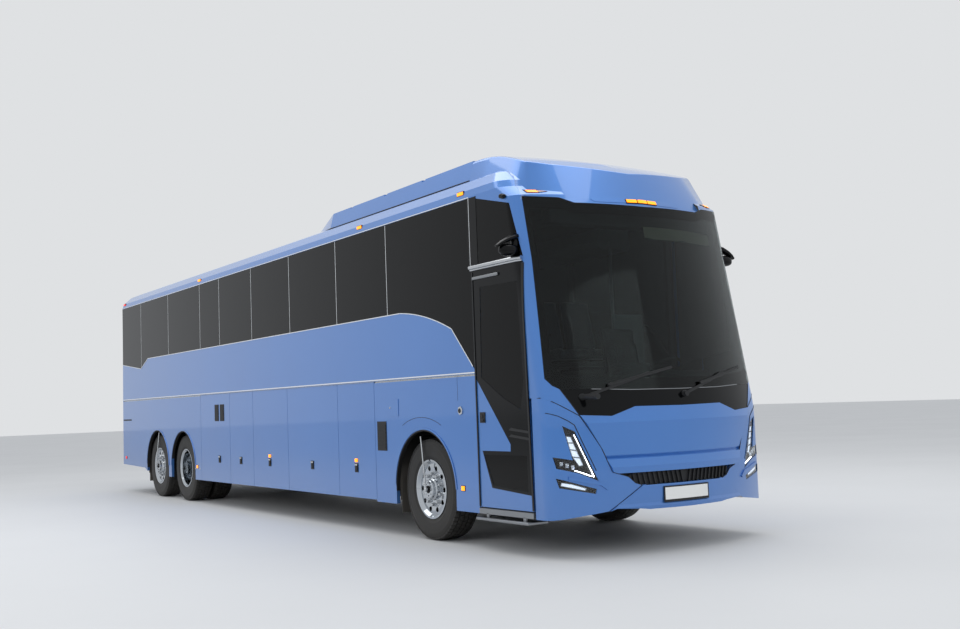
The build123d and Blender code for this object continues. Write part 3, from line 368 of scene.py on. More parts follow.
# Two-stage metallic lacquer, sprayed: flakes under a clear coat with a faint orange peel.
LACQUER = Finish(
    "metallic_lacquer", "#3d76bf", "#457fc9", (0.3, 0.38), 0.5, Grain.FINE, 12.0, 0.03, 900.0, 0.25, 0.9,
    sockets=COAT,
)
SHELL_LACQUER = replace(LACQUER, name="metallic_lacquer_shell", dust=0.0, inner=Inner.FACING, domed=True)
WALL_LACQUER = replace(LACQUER, name="metallic_lacquer_wall", dust=0.0, inner=Inner.DEPTH, lining="#0c0d0f")
# Gloss black ABS, moulded and polished: deep, with soft waves in its reflections.
GLOSS_BLACK = Finish(
    "gloss_black_abs", "#060708", "#0a0b0d", (0.08, 0.14), grain_mm=30.0, sockets=(("IOR", 1.28),)
)
# Laminated glass, floated and bent: a faint green-grey tint.
SCREEN_GLASS = Finish(
    "laminated_glass", "#8c9a9a", "#919f9e", (0.0, 0.015), grain_mm=400.0, relief_mm=0.05, patch_mm=2000.0,
    sockets=(("Transmission Weight", 1.0), ("IOR", 1.28)),
)
# Privacy glass, tempered and body-tinted: near black from outside.
PRIVACY_GLASS = Finish(
    "privacy_glass", "#0a0b0c", "#0c0e0f", (0.0, 0.02), grain_mm=500.0, relief_mm=0.1, patch_mm=2000.0,
    sockets=(("Transmission Weight", 1.0), ("IOR", 1.24)),
)
# Stainless steel, rolled and polished: mirror-like, with fine lines along it.
BRIGHT = Finish("polished_stainless", "#c9cbcd", "#bfc2c5", (0.12, 0.2), 1.0, Grain.BRUSHED, 1.5, 0.004)
# Aluminium, forged and turned: bright, with fine rings about its axle.
TURNED = Finish("turned_aluminium", "#c2c6ca", "#b4b9be", (0.08, 0.16), 1.0, Grain.TURNED, 3.0, 0.003, 200.0)
# Polypropylene, moulded with a leather-like grain: dull and dark grey.
GRAINED_BLACK = Finish(
    "grained_black_pp", "#17181a", "#1e1f21", (0.55, 0.68), 0.0, Grain.CELLS, 2.2, 0.06, 300.0
)
# Structural steel, dipped and painted satin: road film low down.
FRAME_STEEL = Finish(
    "painted_frame_steel", "#26282a", "#2f3133", (0.45, 0.6), 0.1, grain_mm=6.0, relief_mm=0.08, dust=0.5
)
# Grey iron, sand-cast: coarse and dull.
IRON = Finish("sand_cast_iron", "#4b4a47", "#3a3936", (0.6, 0.75), 0.6, Grain.FINE, 2.5, 0.2, 150.0)
# Polyethylene, rotation-moulded: matt, dusty.
LINER = Finish(
    "moulded_liner", "#131415", "#1a1b1c", (0.7, 0.85), grain_mm=4.0, relief_mm=0.15, dust=0.5, dust_top=1.2
)
# Vinyl flooring with flecks, rolled.
VINYL = Finish("flecked_vinyl", "#3d4045", "#55585c", (0.5, 0.62), 0.0, Grain.FINE, 3.0, 0.03, 6.0)
# Soft-touch instrument panel skin, slush-moulded: dull, with a fine grain.
SOFT_SKIN = Finish(
    "slush_moulded_skin", "#202124", "#26272a", (0.6, 0.72), 0.0, Grain.CELLS, 1.6, 0.05, 300.0
)
# Tyre rubber, vulcanised: near black with a brown road film.
RUBBER = Finish(
    "vulcanised_rubber", "#0b0b0b", "#121211", (0.5, 0.68), 0.0, Grain.FINE, 3.0, 0.1, 120.0, 0.12, 1.1
)
# Ethylene rubber seal, extruded: even and dull. Its dark strips along the front's creases and over the front
# arch are painted shade.
SEAL = Finish("extruded_seal", "#0d0d0e", "#141415", (0.5, 0.62), 0.0, Grain.FINE, 1.5, 0.03, 80.0)
# Wool moquette, woven on a loom: night blue with a grey fleck. The thread is drawn coarser, so that it shows.
MOQUETTE = Finish(
    "woven_moquette", "#2c3446", "#3a4356", (0.86, 0.95), 0.0, Grain.WOVEN, 1.6, 0.25, 9.0,
    sockets=(("Sheen Weight", 0.35), ("Sheen Roughness", 0.5)),
)
# Leatherette, calendered and embossed: soft gloss.
LEATHERETTE = Finish(
    "embossed_leatherette", "#24262a", "#2d2f34", (0.45, 0.55), 0.0, Grain.CELLS, 1.8, 0.08, 120.0
)
# Polyester blind cloth, woven: sand.
BLIND_CLOTH = Finish(
    "woven_blind_cloth", "#8d8672", "#98917d", (0.85, 0.95), 0.0, Grain.WOVEN, 1.0, 0.08, 60.0
)
# Laminated lining board, pressed: warm grey.
LINING = Finish("pressed_lining", "#8b8d90", "#949699", (0.6, 0.72), 0.0, Grain.CELLS, 3.0, 0.05, 500.0)
# Display glass over a dark panel, polished.
DISPLAY = Finish("display_glass", "#0b1016", "#0f151c", (0.05, 0.1), grain_mm=60.0, relief_mm=0.01)
# Acrylic lens, moulded: lit amber.
AMBER = Marker("lit_amber_lens", "#ff8a0a", "#ff9d1c", (0.1, 0.16), 0.0, Grain.FINE, 4.0, 0.2, 20.0)
# Acrylic tail lens, moulded with fine ribs: deep red.
RED_LENS = Finish(
    "moulded_red_lens", "#7d0b0c", "#930f0e", (0.08, 0.14), 0.0, Grain.BRUSHED, 4.0, 0.3, 60.0, sockets=COAT
)
# Tail light, moulded: lit red.
TAIL_LIGHT = Marker(
    "lit_tail_lens", "#c0160e", "#d01c12", (0.1, 0.16), 0.0, Grain.FINE, 4.0, 0.1, 20.0, glow=0.8
)
# Light guide, moulded: even white.
LIGHT_GUIDE = Marker("lit_white_guide", "#f4f8ff", "#ffffff", (0.2, 0.3), glow=6.0, rear="#ff2010")
# Projector lens, moulded glass: lit and faceted.
BEAM = Marker(
    "lit_projector_lens", "#eef3fb", "#aebdd2", (0.02, 0.06), 0.0, Grain.CELLS, 14.0, 1.2, 9.0, glow=1.1,
    rear="#ff2010",
)
# Vacuum-metallised reflector: a mirror with a little haze.
REFLECTOR = Finish("metallised_reflector", "#dfe3e8", "#cfd4da", (0.05, 0.1), 1.0, grain_mm=20.0)
# Clear polycarbonate lens, moulded and hard-coated.
CLEAR_LENS = Finish(
    "clear_polycarbonate", "#f2f5f7", "#ecf0f3", (0.0, 0.02), grain_mm=60.0,
    sockets=(("Transmission Weight", 1.0), ("IOR", 1.45)),
)
# Acrylic dome of a roof hatch, blown: smoke grey.
SMOKED_LENS = Finish("smoked_acrylic", "#33373b", "#3a3e42", (0.08, 0.14), grain_mm=80.0, sockets=COAT)
# White enamel on aluminium plate, baked.
PLATE_WHITE = Finish("enamelled_plate", "#e6e7e5", "#dcdddb", (0.3, 0.38), grain_mm=8.0)
# Satin anodised trim, rolled: pale and soft. Between the side panes its pale colour is a painted reflection.
TRIM = Finish("satin_trim", "#eceef0", "#e2e5e8", (0.28, 0.36), 0.4, Grain.BRUSHED, 1.0, 0.004)
# Anodised aluminium, extruded: grey, with lines along it.
ANODISED = Finish("anodised_aluminium", "#8d9093", "#9a9da0", (0.3, 0.4), 1.0, Grain.BRUSHED, 1.0, 0.01)
# Sealed concrete, power-floated: pale, with a faint mottle.
CONCRETE = Finish("sealed_concrete", "#d4d5d6", "#cdcecf", (0.55, 0.7), 0.0, Grain.FINE, 40.0, 0.3, 2500.0)


class Shape:
    """Mesh under construction."""

    def __init__(self) -> None:
        """Start an empty mesh."""
        self.mesh = bmesh.new()

    def take(self, other: bmesh.types.BMesh | Mesh) -> "Shape":
        """Add another mesh and free it.

        Args:
            other: The mesh, or a working one.

        Returns:
            The shape itself.
        """
        passed = other
        if isinstance(other, bmesh.types.BMesh):
            passed = bpy.data.meshes.new("passed")
            other.to_mesh(passed)
            other.free()
        self.mesh.from_mesh(passed)
        bpy.data.meshes.remove(passed)
        return self

    def block(self, low: Place, high: Place, bevel: float = 0.0, turn: Matrix | None = None) -> "Shape":
        """Add a box with rounded edges.

        Args:
            low: Lowest corner.
            high: Highest corner.
            bevel: Radius of the edges.
            turn: Rotation about the box's middle.

        Returns:
            The shape itself.
        """
        part = bmesh.new()
        verts = bmesh.ops.create_cube(part, size=1.0)["verts"]
        middle = (Vector(low) + Vector(high)) / 2
        size = Vector(high) - Vector(low)
        spin = turn or Matrix.Identity(3)
        for vert in verts:
            vert.co = middle + spin @ Vector([a * b for a, b in zip(vert.co, size)])
        if bevel:
            bmesh.ops.bevel(part, geom=part.edges[:], offset=bevel, segments=3, affect="EDGES", profile=0.5)
        return self.take(part)

    def blocks(self, rows: Iterable[Box]) -> "Shape":
        """Add boxes with rounded edges.

        Args:
            rows: Lowest corner, highest corner and radius of the edges of each.

        Returns:
            The shape itself.
        """
        for row in rows:
            self.block(*row)
        return self

    def ring(
        self, centre: Vector, one: Vector, two: Vector, radius: float, steps: int
    ) -> list[bmesh.types.BMVert]:
        """Add the points of a ring.

        Args:
            centre: Its middle.
            one: Direction of its first point.
            two: Direction a quarter turn on.
            radius: Radius, as a share of both directions' lengths.
            steps: How many points.

        Returns:
            The new points.
        """
        angles = [math.tau * at / steps for at in range(steps)]
        spots = [centre + (one * math.cos(a) + two * math.sin(a)) * radius for a in angles]
        return [self.mesh.verts.new(spot) for spot in spots]

    def bridge(self, rings: Sequence[list]) -> None:
        """Join rings of vertices one after another.

        Args:
            rings: The rings, any of which may be a single pole.
        """
        for one, two in zip(rings, rings[1:]):
            for at in range(max(len(one), len(two))):
                spots = ((one, at), (one, at + 1), (two, at + 1), (two, at))
                self.mesh.faces.new(list(dict.fromkeys(ring[spot % len(ring)] for ring, spot in spots)))

    def lathe(
        self, section: Outline, centre: Place, axis: Place, steps: int = 48, closed: bool = False
    ) -> "Shape":
        """Turn a section about an axis.

        Args:
            section: Points of (along, radius).
            centre: Origin of the axis.
            axis: Direction of the axis.
            steps: Faces round the axis.
            closed: Whether the section's last point joins its first.

        Returns:
            The shape itself.
        """
        along = Vector(axis).normalized()
        across = along.orthogonal().normalized()
        third = along.cross(across)
        rings = []
        for out, radius in section:
            spot = Vector(centre) + along * out
            pole = [] if radius else [self.mesh.verts.new(spot)]
            rings.append(pole or self.ring(spot, across, third, radius, steps))
        self.bridge([*rings, rings[0]] if closed else rings)
        return self

    def tube(self, path: Sequence[Place], radius: float, sides: int = 10) -> "Shape":
        """Add a round bar with closed ends.

        Args:
            path: Points along its middle.
            radius: Its radius.
            sides: Faces round it.

        Returns:
            The shape itself.
        """
        points = [Vector(point) for point in path]
        side = None
        rings = []
        for at, point in enumerate(points):
            ahead = points[min(at + 1, len(points) - 1)] - points[max(at - 1, 0)]
            ahead.normalize()
            side = ahead.orthogonal() if side is None else side - ahead * side.dot(ahead)
            side.normalize()
            rings.append(self.ring(point, side, ahead.cross(side), radius, sides))
        self.bridge([[self.mesh.verts.new(points[0])], *rings, [self.mesh.verts.new(points[-1])]])
        return self

    def clad(
        self, outline: Outline, surface: Surface, low: float, high: float, step: float = 0.06
    ) -> "Shape":
        """Add a plate that follows a surface.

        Args:
            outline: Corners as the surface's two coordinates.
            surface: Point for two coordinates and a height off the surface.
            low: Height of the plate's back.
            high: Height of its face.
            step: Longest stretch that stays flat.

        Returns:
            The shape itself.
        """
        part = bmesh.new()
        part.faces.new([part.verts.new((u, v, 0.0)) for u, v in outline])
        for axis in (0, 1):
            values = [corner[axis] for corner in outline]
            cuts = math.ceil((max(values) - min(values)) / step)
            normal = [1.0 if at == axis else 0.0 for at in range(3)]
            for cut in range(1, cuts):
                spot = [0.0, 0.0, 0.0]
                spot[axis] = min(values) + (max(values) - min(values)) * cut / cuts
                whole_part = part.verts[:] + part.edges[:] + part.faces[:]
                bmesh.ops.bisect_plane(part, geom=whole_part, plane_co=spot, plane_no=normal)
        bmesh.ops.connect_verts_concave(part, faces=part.faces[:])
        grown = bmesh.ops.extrude_face_region(part, geom=part.faces[:], use_keep_orig=True)
        raised = {item for item in grown["geom"] if isinstance(item, bmesh.types.BMVert)}
        for vert in part.verts:
            vert.co = surface(vert.co.x, vert.co.y, high if vert in raised else low)
        return self.take(part)

    def band(self, outer: Outline, inner: Outline, surface: Surface, low: float, high: float) -> "Shape":
        """Add the plate between two outlines with as many corners, on a surface.

        Args:
            outer: The outer outline, as the surface's two coordinates.
            inner: The inner outline.
            surface: Surface that the plate follows.
            low: Height of its back.
            high: Height of its face.

        Returns:
            The shape itself.
        """
        for at in range(len(outer)):
            after = (at + 1) % len(outer)
            self.clad([outer[at], outer[after], inner[after], inner[at]], surface, low, high)
        return self

    def strip(self, line: Outline, surface: Surface, width: float, low: float, high: float) -> "Shape":
        """Add a narrow band along a line on a surface.

        Args:
            line: Points as the surface's two coordinates.
            surface: Surface that the band follows.
            width: Width of the band.
            low: Height of its back.
            high: Height of its face.

        Returns:
            The shape itself.
        """
        for (u, v), (next_u, next_v) in zip(line, line[1:]):
            length = math.hypot(next_u - u, next_v - v)
            over = width / 4 / length
            du, dv = (next_u - u) * over, (next_v - v) * over
            nu, nv = -(next_v - v) / length * width / 2, (next_u - u) / length * width / 2
            one, two = (u - du, v - dv), (next_u + du, next_v + dv)
            near = [(one[0] + nu, one[1] + nv), (two[0] + nu, two[1] + nv)]
            self.clad([*near, (two[0] - nu, two[1] - nv), (one[0] - nu, one[1] - nv)], surface, low, high)
        return self

    def as_mesh(self) -> Mesh:
        """Turn the shape to a plain mesh with its normals outwards, and free it."""
        bmesh.ops.recalc_face_normals(self.mesh, faces=self.mesh.faces[:])
        mesh = bpy.data.meshes.new("source")
        self.mesh.to_mesh(mesh)
        self.mesh.free()
        return mesh

    def piece(
        self, name: str, finish: Finish, slot: str, body: str = "chassis", stands_for: Sequence[str] = ()
    ) -> bpy.types.Object:
        """Finish the shape as a piece of the coach, as settle() does for a mesh."""
        return settle(self.as_mesh(), name, finish, body, stands_for)


def settle(
    mesh: Mesh, name: str, finish: Finish, body: str = "chassis", stands_for: Sequence[str] = ()
) -> bpy.types.Object:
    """Place a mesh as a piece that rides on a body, and report it.

    Args:
        mesh: The piece's mesh, in the frame's axes.
        name: Name of the piece.
        finish: Its finish.
        body: Body that it rides on.
        stands_for: Nodes that it replaces.

    Returns:
        The piece's object.
    """
    mesh.name = name
    mesh.materials.clear()
    mesh.materials.append(finish.material())
    for face in mesh.polygons:
        face.material_index = 0
    mesh.shade_smooth()
    mesh.set_sharp_from_angle(angle=math.radians(38))
    made = bpy.data.objects.new(name, mesh)
    bpy.context.scene.collection.objects.link(made)
    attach(made, body)
    if stands_for:
        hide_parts(*stands_for)
    LOG.info("%s: %d faces on %s", name, len(mesh.polygons), body)
    return made


@cache
def repeat_tree() -> Tree:
    """Build the Geometry Nodes tree that repeats a shape by a step and a turn."""
    tree = bpy.data.node_groups.new("repeat", "GeometryNodeTree")
    tree.interface.new_socket("Geometry", in_out="OUTPUT", socket_type="NodeSocketGeometry")
    for name, kind in (
        ("Geometry", "Geometry"), ("Count", "Int"), ("Step", "Vector"), ("Turn", "Vector"),
        ("Start", "Vector"), ("Material", "Material"),
    ):
        tree.interface.new_socket(name, in_out="INPUT", socket_type=f"NodeSocket{kind}")
    given = add_node(tree, "NodeGroupInput").outputs
    number = add_node(tree, "GeometryNodeInputIndex").outputs[0]
    turned = add_node(tree, "ShaderNodeVectorMath", {0: given["Turn"], "Scale": number}, operation="SCALE")
    angles = add_node(tree, "FunctionNodeEulerToRotation", {0: turned})
    line = add_node(tree, "GeometryNodeMeshLine", {"Count": given["Count"], "Offset": given["Step"]})
    spots = {"Points": line, "Instance": given["Geometry"], "Rotation": angles}
    copies = add_node(tree, "GeometryNodeInstanceOnPoints", spots)
    moved = add_node(tree, "GeometryNodeTransform", {"Geometry": copies, "Translation": given["Start"]})
    real = add_node(tree, "GeometryNodeRealizeInstances", {"Geometry": moved})
    coloured = add_node(tree, "GeometryNodeSetMaterial", {"Geometry": real, "Material": given["Material"]})
    add_node(tree, "NodeGroupOutput", {"Geometry": coloured})
    return tree


@dataclass(frozen=True)
class Pattern:
    """Copies of one shape along a line or round an axis.

    Attributes:
        count: How many copies.
        step: Move from one copy to the next.
        turn: Euler angles from one copy to the next.
        start: Where the pattern's origin goes.
    """

    count: int
    step: Point = (0.0, 0.0, 0.0)
    turn: Point = (0.0, 0.0, 0.0)
    start: Point = (0.0, 0.0, 0.0)

    def spread(self, source: Mesh, finish: Finish) -> Mesh:
        """Repeat a mesh with Geometry Nodes.

        Args:
            source: The mesh to repeat, modelled at the pattern's origin.
            finish: Finish of the copies.

        Returns:
            One plain mesh with all the copies.
        """
        holder = bpy.data.objects.new("pattern", source)
        bpy.context.scene.collection.objects.link(holder)
        modifier = holder.modifiers.new("repeat", "NODES")
        modifier.node_group = repeat_tree()
        values = {"Count": self.count, "Step": self.step, "Turn": self.turn, "Start": self.start}
        values["Material"] = finish.material()
        for item in modifier.node_group.interface.items_tree:
            if item.in_out == "INPUT" and item.name in values:
                modifier[item.identifier] = values[item.name]
        made = evaluated(holder)
        bpy.data.objects.remove(holder)
        return made


def evaluated(holder: bpy.types.Object) -> Mesh:
    """Carry out an object's modifiers and remove them.

    Args:
        holder: The object.

    Returns:
        The plain mesh that they make.
    """
    made = bpy.data.meshes.new_from_object(holder.evaluated_get(bpy.context.evaluated_depsgraph_get()))
    holder.modifiers.clear()
    return made


def mirrored(points: Outline, side: int) -> list[Pair]:
    """Return an outline of (across, up) on one side of the coach."""
    return [(side * across, up) for across, up in points]


def whole(half: Outline) -> list[Pair]:
    """Return the closed outline of a half that starts and ends on the centre line."""
    return [*half, *[(-across, up) for across, up in half[-2:0:-1]]]


def rectangle(low_u: float, high_u: float, low_v: float, high_v: float) -> list[Pair]:
    """Return the corners of a rectangle."""
    return [(low_u, low_v), (high_u, low_v), (high_u, high_v), (low_u, high_v)]


def arc(one: Pair, two: Pair, three: Pair, count: int) -> list[Pair]:
    """Draw an arc through three points.

    Args:
        one: Its start.
        two: A point on it.
        three: Its end.
        count: How many points to return.

    Returns:
        Points of the arc, ends included.
    """
    (ax, ay), (bx, by), (cx, cy) = one, two, three
    twice = 2 * (ax * (by - cy) + bx * (cy - ay) + cx * (ay - by))
    squares = [x * x + y * y for x, y in (one, two, three)]
    mid_x = (squares[0] * (by - cy) + squares[1] * (cy - ay) + squares[2] * (ay - by)) / twice
    mid_y = (squares[0] * (cx - bx) + squares[1] * (ax - cx) + squares[2] * (bx - ax)) / twice
    reach = math.hypot(ax - mid_x, ay - mid_y)
    first, last = (math.atan2(y - mid_y, x - mid_x) for x, y in (one, three))
    angles = (first + (last - first) * at / (count - 1) for at in range(count))
    return [(mid_x + reach * math.cos(angle), mid_y + reach * math.sin(angle)) for angle in angles]


@dataclass(frozen=True)
class CoachForm:
    """Outer form of the coach as the frame has it.

    Attributes:
        half_width: Half the width over the side panels.
        bow: Radius of the front's plan.
        corner: Radius of the front corners.
        rear_corner: Radius of the rear corners.
        nose_y: Front of the bow at its foot.
        front_rows: Height, and how far the centre of the front lies behind its foot.
        dome_rows: Height, the dome's face on the centre line, and its front corner's two places.
        tail_y: Rear face.
        tail_lean: Lean of the rear face above the trim line.
        trim_z: Height of the trim line.
        window_top_z: Upper edge of the glass band.
        axle_z: Height of the wheels' axis.
    """

    half_width: float = 1.3
    bow: float = 2.8
    corner: float = 0.2
    rear_corner: float = 0.18
    nose_y: float = -6.904
    front_rows: tuple[Pair, ...] = (
        (0.2, 0.0), (1.15, 0.0), (1.2, 0.00125), (1.25, 0.005), (1.3, 0.01125), (1.35, 0.02), (3.29, 0.408),
        (3.4, 0.58), (3.662, 0.74),
    )
    dome_rows: tuple[Span, Span] = ((3.2, -6.505, 0.865, -6.383), (3.9, -6.104, 0.787, -5.975))
    tail_y: float = 6.9225
    tail_lean: float = 0.03
    trim_z: float = 1.662
    window_top_z: float = 3.385
    axle_z: float = 0.522

    def nose(self, z: float) -> float:
        """Find the front of the bow.

        Args:
            z: Height.

        Returns:
            Its place along the coach.
        """
        for (low, near), (high, far) in zip(self.front_rows, self.front_rows[1:]):
            if z <= high:
                break
        return self.nose_y + near + (far - near) * max(0.0, z - low) / (high - low)

    def corner_y(self, z: float) -> float:
        """Return where the front corner's arc has its middle at a height."""
        corner_x = self.half_width - self.corner
        return self.nose(z) + self.bow - math.sqrt((self.bow - self.corner) ** 2 - corner_x**2)

    def front(self, x: float, z: float, off: float = 0.0) -> Vector:
        """Find a point of the front.

        Args:
            x: Place across.
            z: Height.
            off: Distance off the skin.

        Returns:
            The point.
        """
        corner_x = self.half_width - self.corner
        if abs(x) <= corner_x * self.bow / (self.bow - self.corner):
            return Vector((x, self.nose(z) + self.bow - math.sqrt((self.bow + off) ** 2 - x**2), z))
        reach = self.corner + off
        across = min(abs(x) - corner_x, reach)
        return Vector((x, self.corner_y(z) - math.sqrt(reach**2 - across**2), z))

    def dome(self, x: float, z: float, off: float = 0.0) -> Vector:
        """Find a point of the dome's face.

        Args:
            x: Place across.
            z: Height.
            off: Distance off the face.

        Returns:
            The point.
        """
        (foot_z, *foot), (head_z, *head) = self.dome_rows
        share = (z - foot_z) / (head_z - foot_z)
        middle, corner_x, corner_y = (a + (b - a) * share for a, b in zip(foot, head))
        out = Vector((0.0, foot_z - head_z, head[0] - foot[0])).normalized()
        return Vector((x, middle + (corner_y - middle) * abs(x) / corner_x, z)) + out * off

    def flank(self, side: int) -> Surface:
        """Give the surface of one side.

        Args:
            side: 1 for the driver's side, -1 for the kerb side.

        Returns:
            The surface, by place along and height.
        """

        def point(y: float, z: float, off: float = 0.0) -> Vector:
            """Find a point of the side.

            Args:
                y: Place along.
                z: Height.
                off: Distance off the skin.

            Returns:
                The point.
            """
            behind = self.corner_y(z) - y
            if behind <= 0:
                return Vector((side * (self.half_width + off), y, z))
            reach = self.corner + off
            across = math.sqrt(max(0.0, reach**2 - min(behind, reach) ** 2))
            return Vector((side * (self.half_width - self.corner + across), y, z))

        return point

    def back(self, x: float, z: float, off: float = 0.0) -> Vector:
        """Find a point of the rear.

        Args:
            x: Place across.
            z: Height.
            off: Distance off the skin.

        Returns:
            The point.
        """
        rear = self.tail_y - max(0.0, z - self.trim_z) * self.tail_lean
        corner_x = self.half_width - self.rear_corner
        if abs(x) <= corner_x:
            return Vector((x, rear + off, z))
        reach = self.rear_corner + off
        across = min(abs(x) - corner_x, reach)
        return Vector((x, rear - self.rear_corner + math.sqrt(reach**2 - across**2), z))


FORM = CoachForm()


@dataclass
class FrameFinishes:
    """Finishes of the nodes that keep their own meshes.

    Attributes:
        names: Each finish with the beginnings of its nodes' names.
        wheel: Beginning of the names of the wheels' nodes, which are turned about their own axle.
    """

    names: tuple[tuple[Finish, str], ...] = (
        (SHELL_LACQUER, "front_cap roof_shell"), (WALL_LACQUER, "side_wall rear_wall"),
        (SCREEN_GLASS, "windshield"), (PRIVACY_GLASS, "body_glass entry_door_glass"),
        (GLOSS_BLACK, "cowl_panel camera_pods"), (GRAINED_BLACK, "grille wipers door_arm"),
        (BRIGHT, "flap_rails"), (CLEAR_LENS, "headlamps"), (RED_LENS, "tail_lamps"), (AMBER, "marker_lamps"),
        (IRON, "engine"), (LACQUER, "engine_hatch"),
        (FRAME_STEEL, "underframe front_axle rear_axles knuckle tie_rod"), (LINER, "wheelhouses mud_flaps"),
        (VINYL, "floor_deck"), (SOFT_SKIN, "dashboard seats"), (RUBBER, "tyre"), (TURNED, "rim"),
    )
    wheel: str = "rim"

    def alloy(self, node: str) -> Finish:
        """Turn the aluminium of one wheel about its axle.

        Args:
            node: The wheel's node.

        Returns:
            The finish.
        """
        low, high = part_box(node)
        middle = round((low.y + high.y) / 2, 4)
        return replace(TURNED, name=f"{TURNED.name}_{middle:.1f}", centre=(middle, FORM.axle_z))

    def dress(self) -> None:
        """Give every node its finish."""
        finishes = {name: finish for finish, names in self.names for name in names.split()}
        for node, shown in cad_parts.items():
            best = max((name for name in finishes if node.startswith(name)), key=len, default="")
            finish = self.alloy(node) if best == self.wheel else finishes.get(best, LACQUER)
            shown.data.materials.clear()
            shown.data.materials.append(finish.material())
        LOG.info("finishes on %d nodes", len(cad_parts))


@dataclass
class RoadWheel:
    """Tyres, nuts, hub bolts and cap of the wheels at one place.

    Attributes:
        place: Name of the axle.
        axle_y: Place of the axle.
        tyre_shifts: Middle planes of the tyres, outboard of the track.
        nut_face: Face that the nuts sit on.
        hub_face: End of the hub.
        bolt_ring: Radius of the hub's bolt ring.
        track_x: Middle plane of the outer tyre.
        nut_ring: Radius of the nut ring.
        pitches: How many pitches the tread has.
        pitch_depth: Height of a tread block, down into the carcass.
        half_carcass: Half the tyre's section as (outboard, radius), with the tread left off.
        tread: Inner and outer edge of each block of a pitch, and the tread's radius at both.
        skirt: Section of a nut's washer.
        nut_cap: Section of a nut's cap.
        bolt: Section of a hub bolt.
        cap: Section of the hub cap.
    """

    place: str
    axle_y: float
    tyre_shifts: tuple[float, ...]
    nut_face: float
    hub_face: float
    bolt_ring: float
    track_x: float = 1.122
    nut_ring: float = 0.158
    pitches: int = 60
    pitch_depth: float = 0.016
    half_carcass: tuple[Pair, ...] = (
        (0.12, 0.292), (0.1235, 0.302), (0.133, 0.318), (0.14, 0.341), (0.1422, 0.345), (0.1426, 0.35),
        (0.1425, 0.356), (0.1448, 0.39), (0.1449, 0.42), (0.143, 0.446), (0.1436, 0.45), (0.142, 0.455),
        (0.1385, 0.474), (0.131, 0.493), (0.119, 0.506), (0.108, 0.51),
    )
    tread: tuple[Span, ...] = (
        (-0.132, -0.092, 0.512, 0.522), (-0.082, -0.032, 0.522, 0.522), (-0.022, 0.022, 0.522, 0.522),
        (0.032, 0.082, 0.522, 0.522), (0.092, 0.132, 0.522, 0.512),
    )
    skirt: tuple[Pair, ...] = ((0.0, 0.0), (0.0, 0.024), (0.004, 0.024), (0.005, 0.0185))
    nut_cap: tuple[Pair, ...] = ((0.005, 0.0185), (0.026, 0.0175), (0.034, 0.0125), (0.036, 0.0))
    bolt: tuple[Pair, ...] = ((0.0, 0.0), (0.0, 0.009), (0.007, 0.0085), (0.008, 0.0))
    cap: tuple[Pair, ...] = ((0.0, 0.0), (0.0, 0.04), (0.006, 0.038), (0.011, 0.03), (0.012, 0.0))

    def tread_pitch(self, shift: float, side: int) -> Shape:
        """Draw one pitch of the tread: five slanted blocks.

        Args:
            shift: Middle plane of the tyre, outboard of the track.
            side: 1 for the driver's side, -1 for the kerb side.

        Returns:
            The shape, about the wheel's axis.
        """
        shape = Shape()
        span = math.tau / self.pitches
        for row, (low, high, low_radius, high_radius) in enumerate(self.tread):
            corners = []
            slant = span * (0.14 if row % 2 else -0.14)
            for depth in (self.pitch_depth, 0.0):
                for out, top in ((low, low_radius), (high, high_radius)):
                    for turn in (0.04, 0.47, 0.9):
                        angle = span * (turn + 0.25 * (row % 2)) + (slant if out == high else 0.0)
                        x, reach = side * (self.track_x + shift + out), top - depth
                        place = Vector((x, reach * math.sin(angle), reach * math.cos(angle)))
                        corners.append(shape.mesh.verts.new(place))
            for face in (
                (0, 1, 4, 3), (1, 2, 5, 4), (6, 7, 10, 9), (7, 8, 11, 10), (0, 1, 7, 6), (1, 2, 8, 7),
                (3, 4, 10, 9), (4, 5, 11, 10), (0, 3, 9, 6), (2, 5, 11, 8),
            ):
                shape.mesh.faces.new([corners[at] for at in face])
        return shape

    def build(self) -> None:
        """Build both sides' wheels."""
        middle = (0.0, self.axle_y, FORM.axle_z)
        carcass = [*self.half_carcass, *[(-out, radius) for out, radius in reversed(self.half_carcass)]]
        for side, word in SIDES:
            where, axis = f"{self.place}_{word}", (side, 0, 0)
            body = f"wheel_{where}"
            tyre = Shape()
            for shift in self.tyre_shifts:
                tyre.lathe(carcass, (side * (self.track_x + shift), *middle[1:]), axis, 96, closed=True)
                ring = Pattern(self.pitches, turn=(math.tau / self.pitches, 0.0, 0.0), start=middle)
                tyre.take(ring.spread(self.tread_pitch(shift, side).as_mesh(), RUBBER))
            tyre.piece(f"tyre_{where}_rubber", RUBBER, "tyre_rubber", body, [f"tyre_{where}"])
            face, out = side * (self.track_x + self.nut_face), side * (self.track_x + self.hub_face)
            nut = Shape().lathe(self.skirt, (face, 0.0, self.nut_ring), axis, 18)
            nut.lathe(self.nut_cap, (face, 0.0, self.nut_ring), axis, 6)
            bolt = Shape().lathe(self.bolt, (out, 0.0, self.bolt_ring), axis, 6)
            for name, shape, count in (("nuts", nut, 10), ("hub_bolts", bolt, 8)):
                ring = Pattern(count, turn=(math.tau / count, 0.0, 0.0), start=middle)
                settle(ring.spread(shape.as_mesh(), BRIGHT), f"{name}_{where}", BRIGHT, body)
            cap = Shape().lathe(self.cap, (out, *middle[1:]), axis, 32)
            cap.piece(f"hub_cap_{where}", GLOSS_BLACK, "black_gloss", body)


